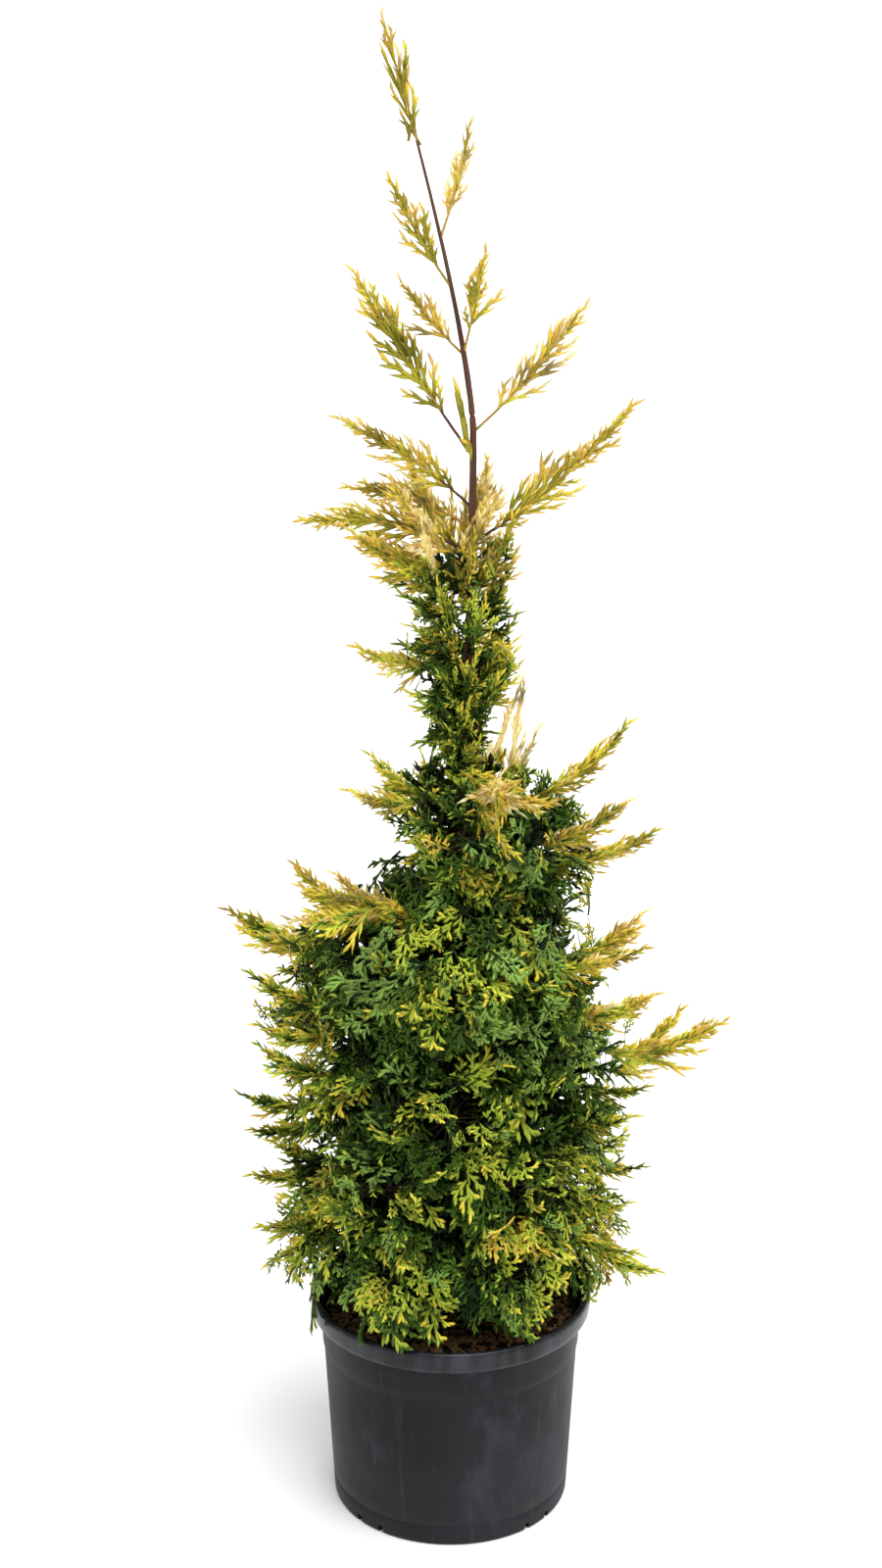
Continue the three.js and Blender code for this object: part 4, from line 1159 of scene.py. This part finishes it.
def pot_profile():
    """From the middle of the underside up the outside, over the rolled rim and down the inside."""
    band_bottom, collar, step = POT["height"] - POT["band"], POT["collar_height"], POT["collar_step"]

    def wall_at(z):
        return lerp(POT["foot"], POT["collar_top"] - step, z / band_bottom)

    profile = [(0, 0), (118, 0), (122.6, 0), (124.4, 0.5), (125.6, 1.6), (126.1, 3.2)]
    profile += [(wall_at(z), z) for z in (8, 14, 21.6)]
    profile += [(wall_at(22.3) - 0.5, 22.3), (wall_at(23.2) - 0.5, 23.2), (wall_at(24), 24)]
    profile += [(wall_at(z), z) for z in (40, 60, 80, 100, 120, 140, 160, 176, collar - 0.6)]
    profile += [(wall_at(collar) + step * 0.7, collar + 0.2), (wall_at(collar + 1) + step, collar + 1.2)]
    profile += [(wall_at(z) + step, z) for z in (190, 200, 210, 214)]
    profile += [(140.6, 215.8), (144.5, 216.4), (147.2, 217.2), (148.3, 218.6)]
    profile += [(148.9, 222), (149.5, 228), (149.9, 233.5)]
    roll = np.linspace(0.15, math.pi, 10)
    profile += [(146 + 4.0 * math.cos(a), 235.6 + 4.4 * math.sin(a)) for a in roll]
    profile += [(141.2, 232), (140.4, 226), (139.4, 220), (138.0, 215)]
    profile += [(wall_at(z) - POT["wall"], z) for z in (210, 190, 150, 100, 50, 8)]
    return profile + [(wall_at(4) - POT["wall"] - 1, POT["floor"]), (60, POT["floor"]), (0, POT["floor"])]


pot = mesh_object("pot_shell", *lathe(pot_profile(), 180), pot_material())
slots = Pile()
for middle in DRAIN["pairs_at"]:
    for side in (-1, 1):
        a = math.radians(middle + side * DRAIN["half_spread"])
        out, along = flat(a), np.cross(UP, flat(a))
        line = [out * (POT["foot"] - 14), out * (POT["foot"] + 14)]
        half = DRAIN["width"] / 2
        arch = [(math.cos(b) * half, 5.5 + math.sin(b) * 3.5) for b in np.linspace(0, math.pi, 7)]
        arch = [(half, -2)] + arch + [(-half, -2)]
        n = len(arch)
        verts = np.array([end + along * u + UP * v for end in line for u, v in arch])
        faces = [(i, (i + 1) % n, n + (i + 1) % n) for i in range(n)]
        faces += [(i, n + (i + 1) % n, n + i) for i in range(n)]
        faces += [(0, i + 1, i) for i in range(1, n - 1)] + [(n, n + i, n + i + 1) for i in range(1, n - 1)]
        slots.add(verts, np.array(faces))
cutter = slots.build("slot_cutter", pot.data.materials[0], False)
cut = pot.modifiers.new("slots", "BOOLEAN")
cut.object = cutter
cut.operation = "DIFFERENCE"
cut.solver = "EXACT"
graph = bpy.context.evaluated_depsgraph_get()
cut_mesh = bpy.data.meshes.new_from_object(pot.evaluated_get(graph))
pot.modifiers.clear()
pot.data = cut_mesh
bpy.data.objects.remove(cutter)


# The soil: a rough crumbly surface with flecks of bark
def soil_level(r):
    return lerp(SOIL["crown_height"] - 1.0, SOIL["edge_height"], min(1.0, r / SOIL["edge"]) ** 1.4)


edge, bottom = SOIL["edge"], SOIL["bottom"]
rings = np.linspace(0, edge, 44)[1:]
top = [(r, 0) for r in rings[::-1]] + [(0, 0)]
soil_points, soil_faces = lathe([(0, bottom), (edge - 3, bottom)] + top, 150)
for v in soil_points:
    if v[2] != bottom:
        r = math.hypot(v[0], v[1])
        crumb = roughness(v[0] * 0.09, v[1] * 0.09, 3.0) * 2.2
        crumb += roughness(v[0] * 0.3, v[1] * 0.3, 9.0) * 1.3
        v[2] = soil_level(r) + crumb * (1 if r < edge - 3 else 0.3)
soil = mesh_object("soil_surface", soil_points, soil_faces,
                   soil_material("soil_dark", (0.075, 0.062, 0.05), (0.17, 0.135, 0.10)))
chips = Pile()
random = seeded(77)
CHIPS, TRUNK_CLEAR = 1100, 22  # how many, and how far they stay off the middle
CHIP = np.array([(x, y, z) for x in (-1, 1) for y in (-1, 1) for z in (-1, 1)], dtype=float)
CHIP_FACES = np.array([
    (0, 1, 3), (0, 3, 2), (4, 6, 7), (4, 7, 5), (0, 4, 5), (0, 5, 1),
    (2, 3, 7), (2, 7, 6), (0, 2, 6), (0, 6, 4), (1, 5, 7), (1, 7, 3),
])
for _ in range(CHIPS):
    r = math.sqrt(random()) * (edge - 5)
    a = random() * 2 * math.pi
    size = np.array([1.5 + 5 * random() ** 2, 1.0 + 2.4 * random(), 0.5 + 0.8 * random()])
    corners = CHIP * size * (1 + 0.5 * (np.array([[random() for _ in range(3)] for _ in range(8)]) - 0.5))
    axis = unit(np.array([random() - 0.5, random() - 0.5, random() * 1.5]))
    spin, tip = random() * 6.28, (random() - 0.5) * 0.9
    level_axis = unit(np.array([axis[0], axis[1], 0.01]))
    chip = np.array([turned(turned(c, UP, spin), level_axis, tip) for c in corners])
    place = flat(a) * r + UP * (soil_level(r) + 0.8 + 1.4 * random())
    if r > TRUNK_CLEAR:
        chips.add(chip + place, CHIP_FACES)
chip_piece = chips.build("soil_bark_flecks",
                         soil_material("bark_flecks", (0.28, 0.20, 0.12), (0.66, 0.50, 0.32)), False)

# Floor, light and camera
FLOOR_RADIUS = 60000
floor_points, floor_faces = lathe([(0, -0.4), (FLOOR_RADIUS, -0.4), (FLOOR_RADIUS, 0), (0, 0)], 64)
floor = mesh_object("floor", floor_points - UP * 0.05, floor_faces, floor_material(), False)

SKY = 0.64  # its strength
world = bpy.data.worlds.new("studio")
world.use_nodes = True
sky = world.node_tree.nodes["Background"].inputs
sky["Color"].default_value = (1.0, 1.0, 1.0, 1.0)
sky["Strength"].default_value = SKY
bpy.context.scene.world = world


def sun(name, heading, height, strength, softness):
    light = bpy.data.lights.new(name, "SUN")
    light.energy = strength
    light.angle = math.radians(softness)
    turn = Vector(-heading_of(heading, height)).to_track_quat("-Z", "Y")
    placed(name, light).rotation_euler = turn.to_euler()


sun("key_light", -56, 64, 2.8, 50)
sun("rim_light", 70, 50, 0.6, 40)

view = bpy.data.cameras.new("camera")
view.lens = CAMERA["lens"]
view.sensor_width = 36
view.clip_end = 200
camera = placed("camera", view)
camera.location = CAMERA["place"]
camera.rotation_euler = (math.radians(90 - CAMERA["pitch"]), 0, 0)
bpy.context.scene.camera = camera
bpy.context.scene.view_settings.view_transform = "Standard"

# The solids' parts that the pieces stand for are hidden, and each piece rides on the root
nodes = list(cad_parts)
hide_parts("pot")
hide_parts("potting_soil")
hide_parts("trunk", *[n for n in nodes if n.startswith("bough_")])
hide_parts(*[n for n in nodes if n.startswith("foliage_")])
for piece, slot in ((pot, "pot_plastic"), (soil, "potting_soil"), (chip_piece, "potting_soil"),
                    (trunk_piece, "bark"), (twig_piece, "bark"), (golden_piece, "bark")):
    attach(piece, "root")
for kind, piece in leaf_pieces:
    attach(piece, "root")
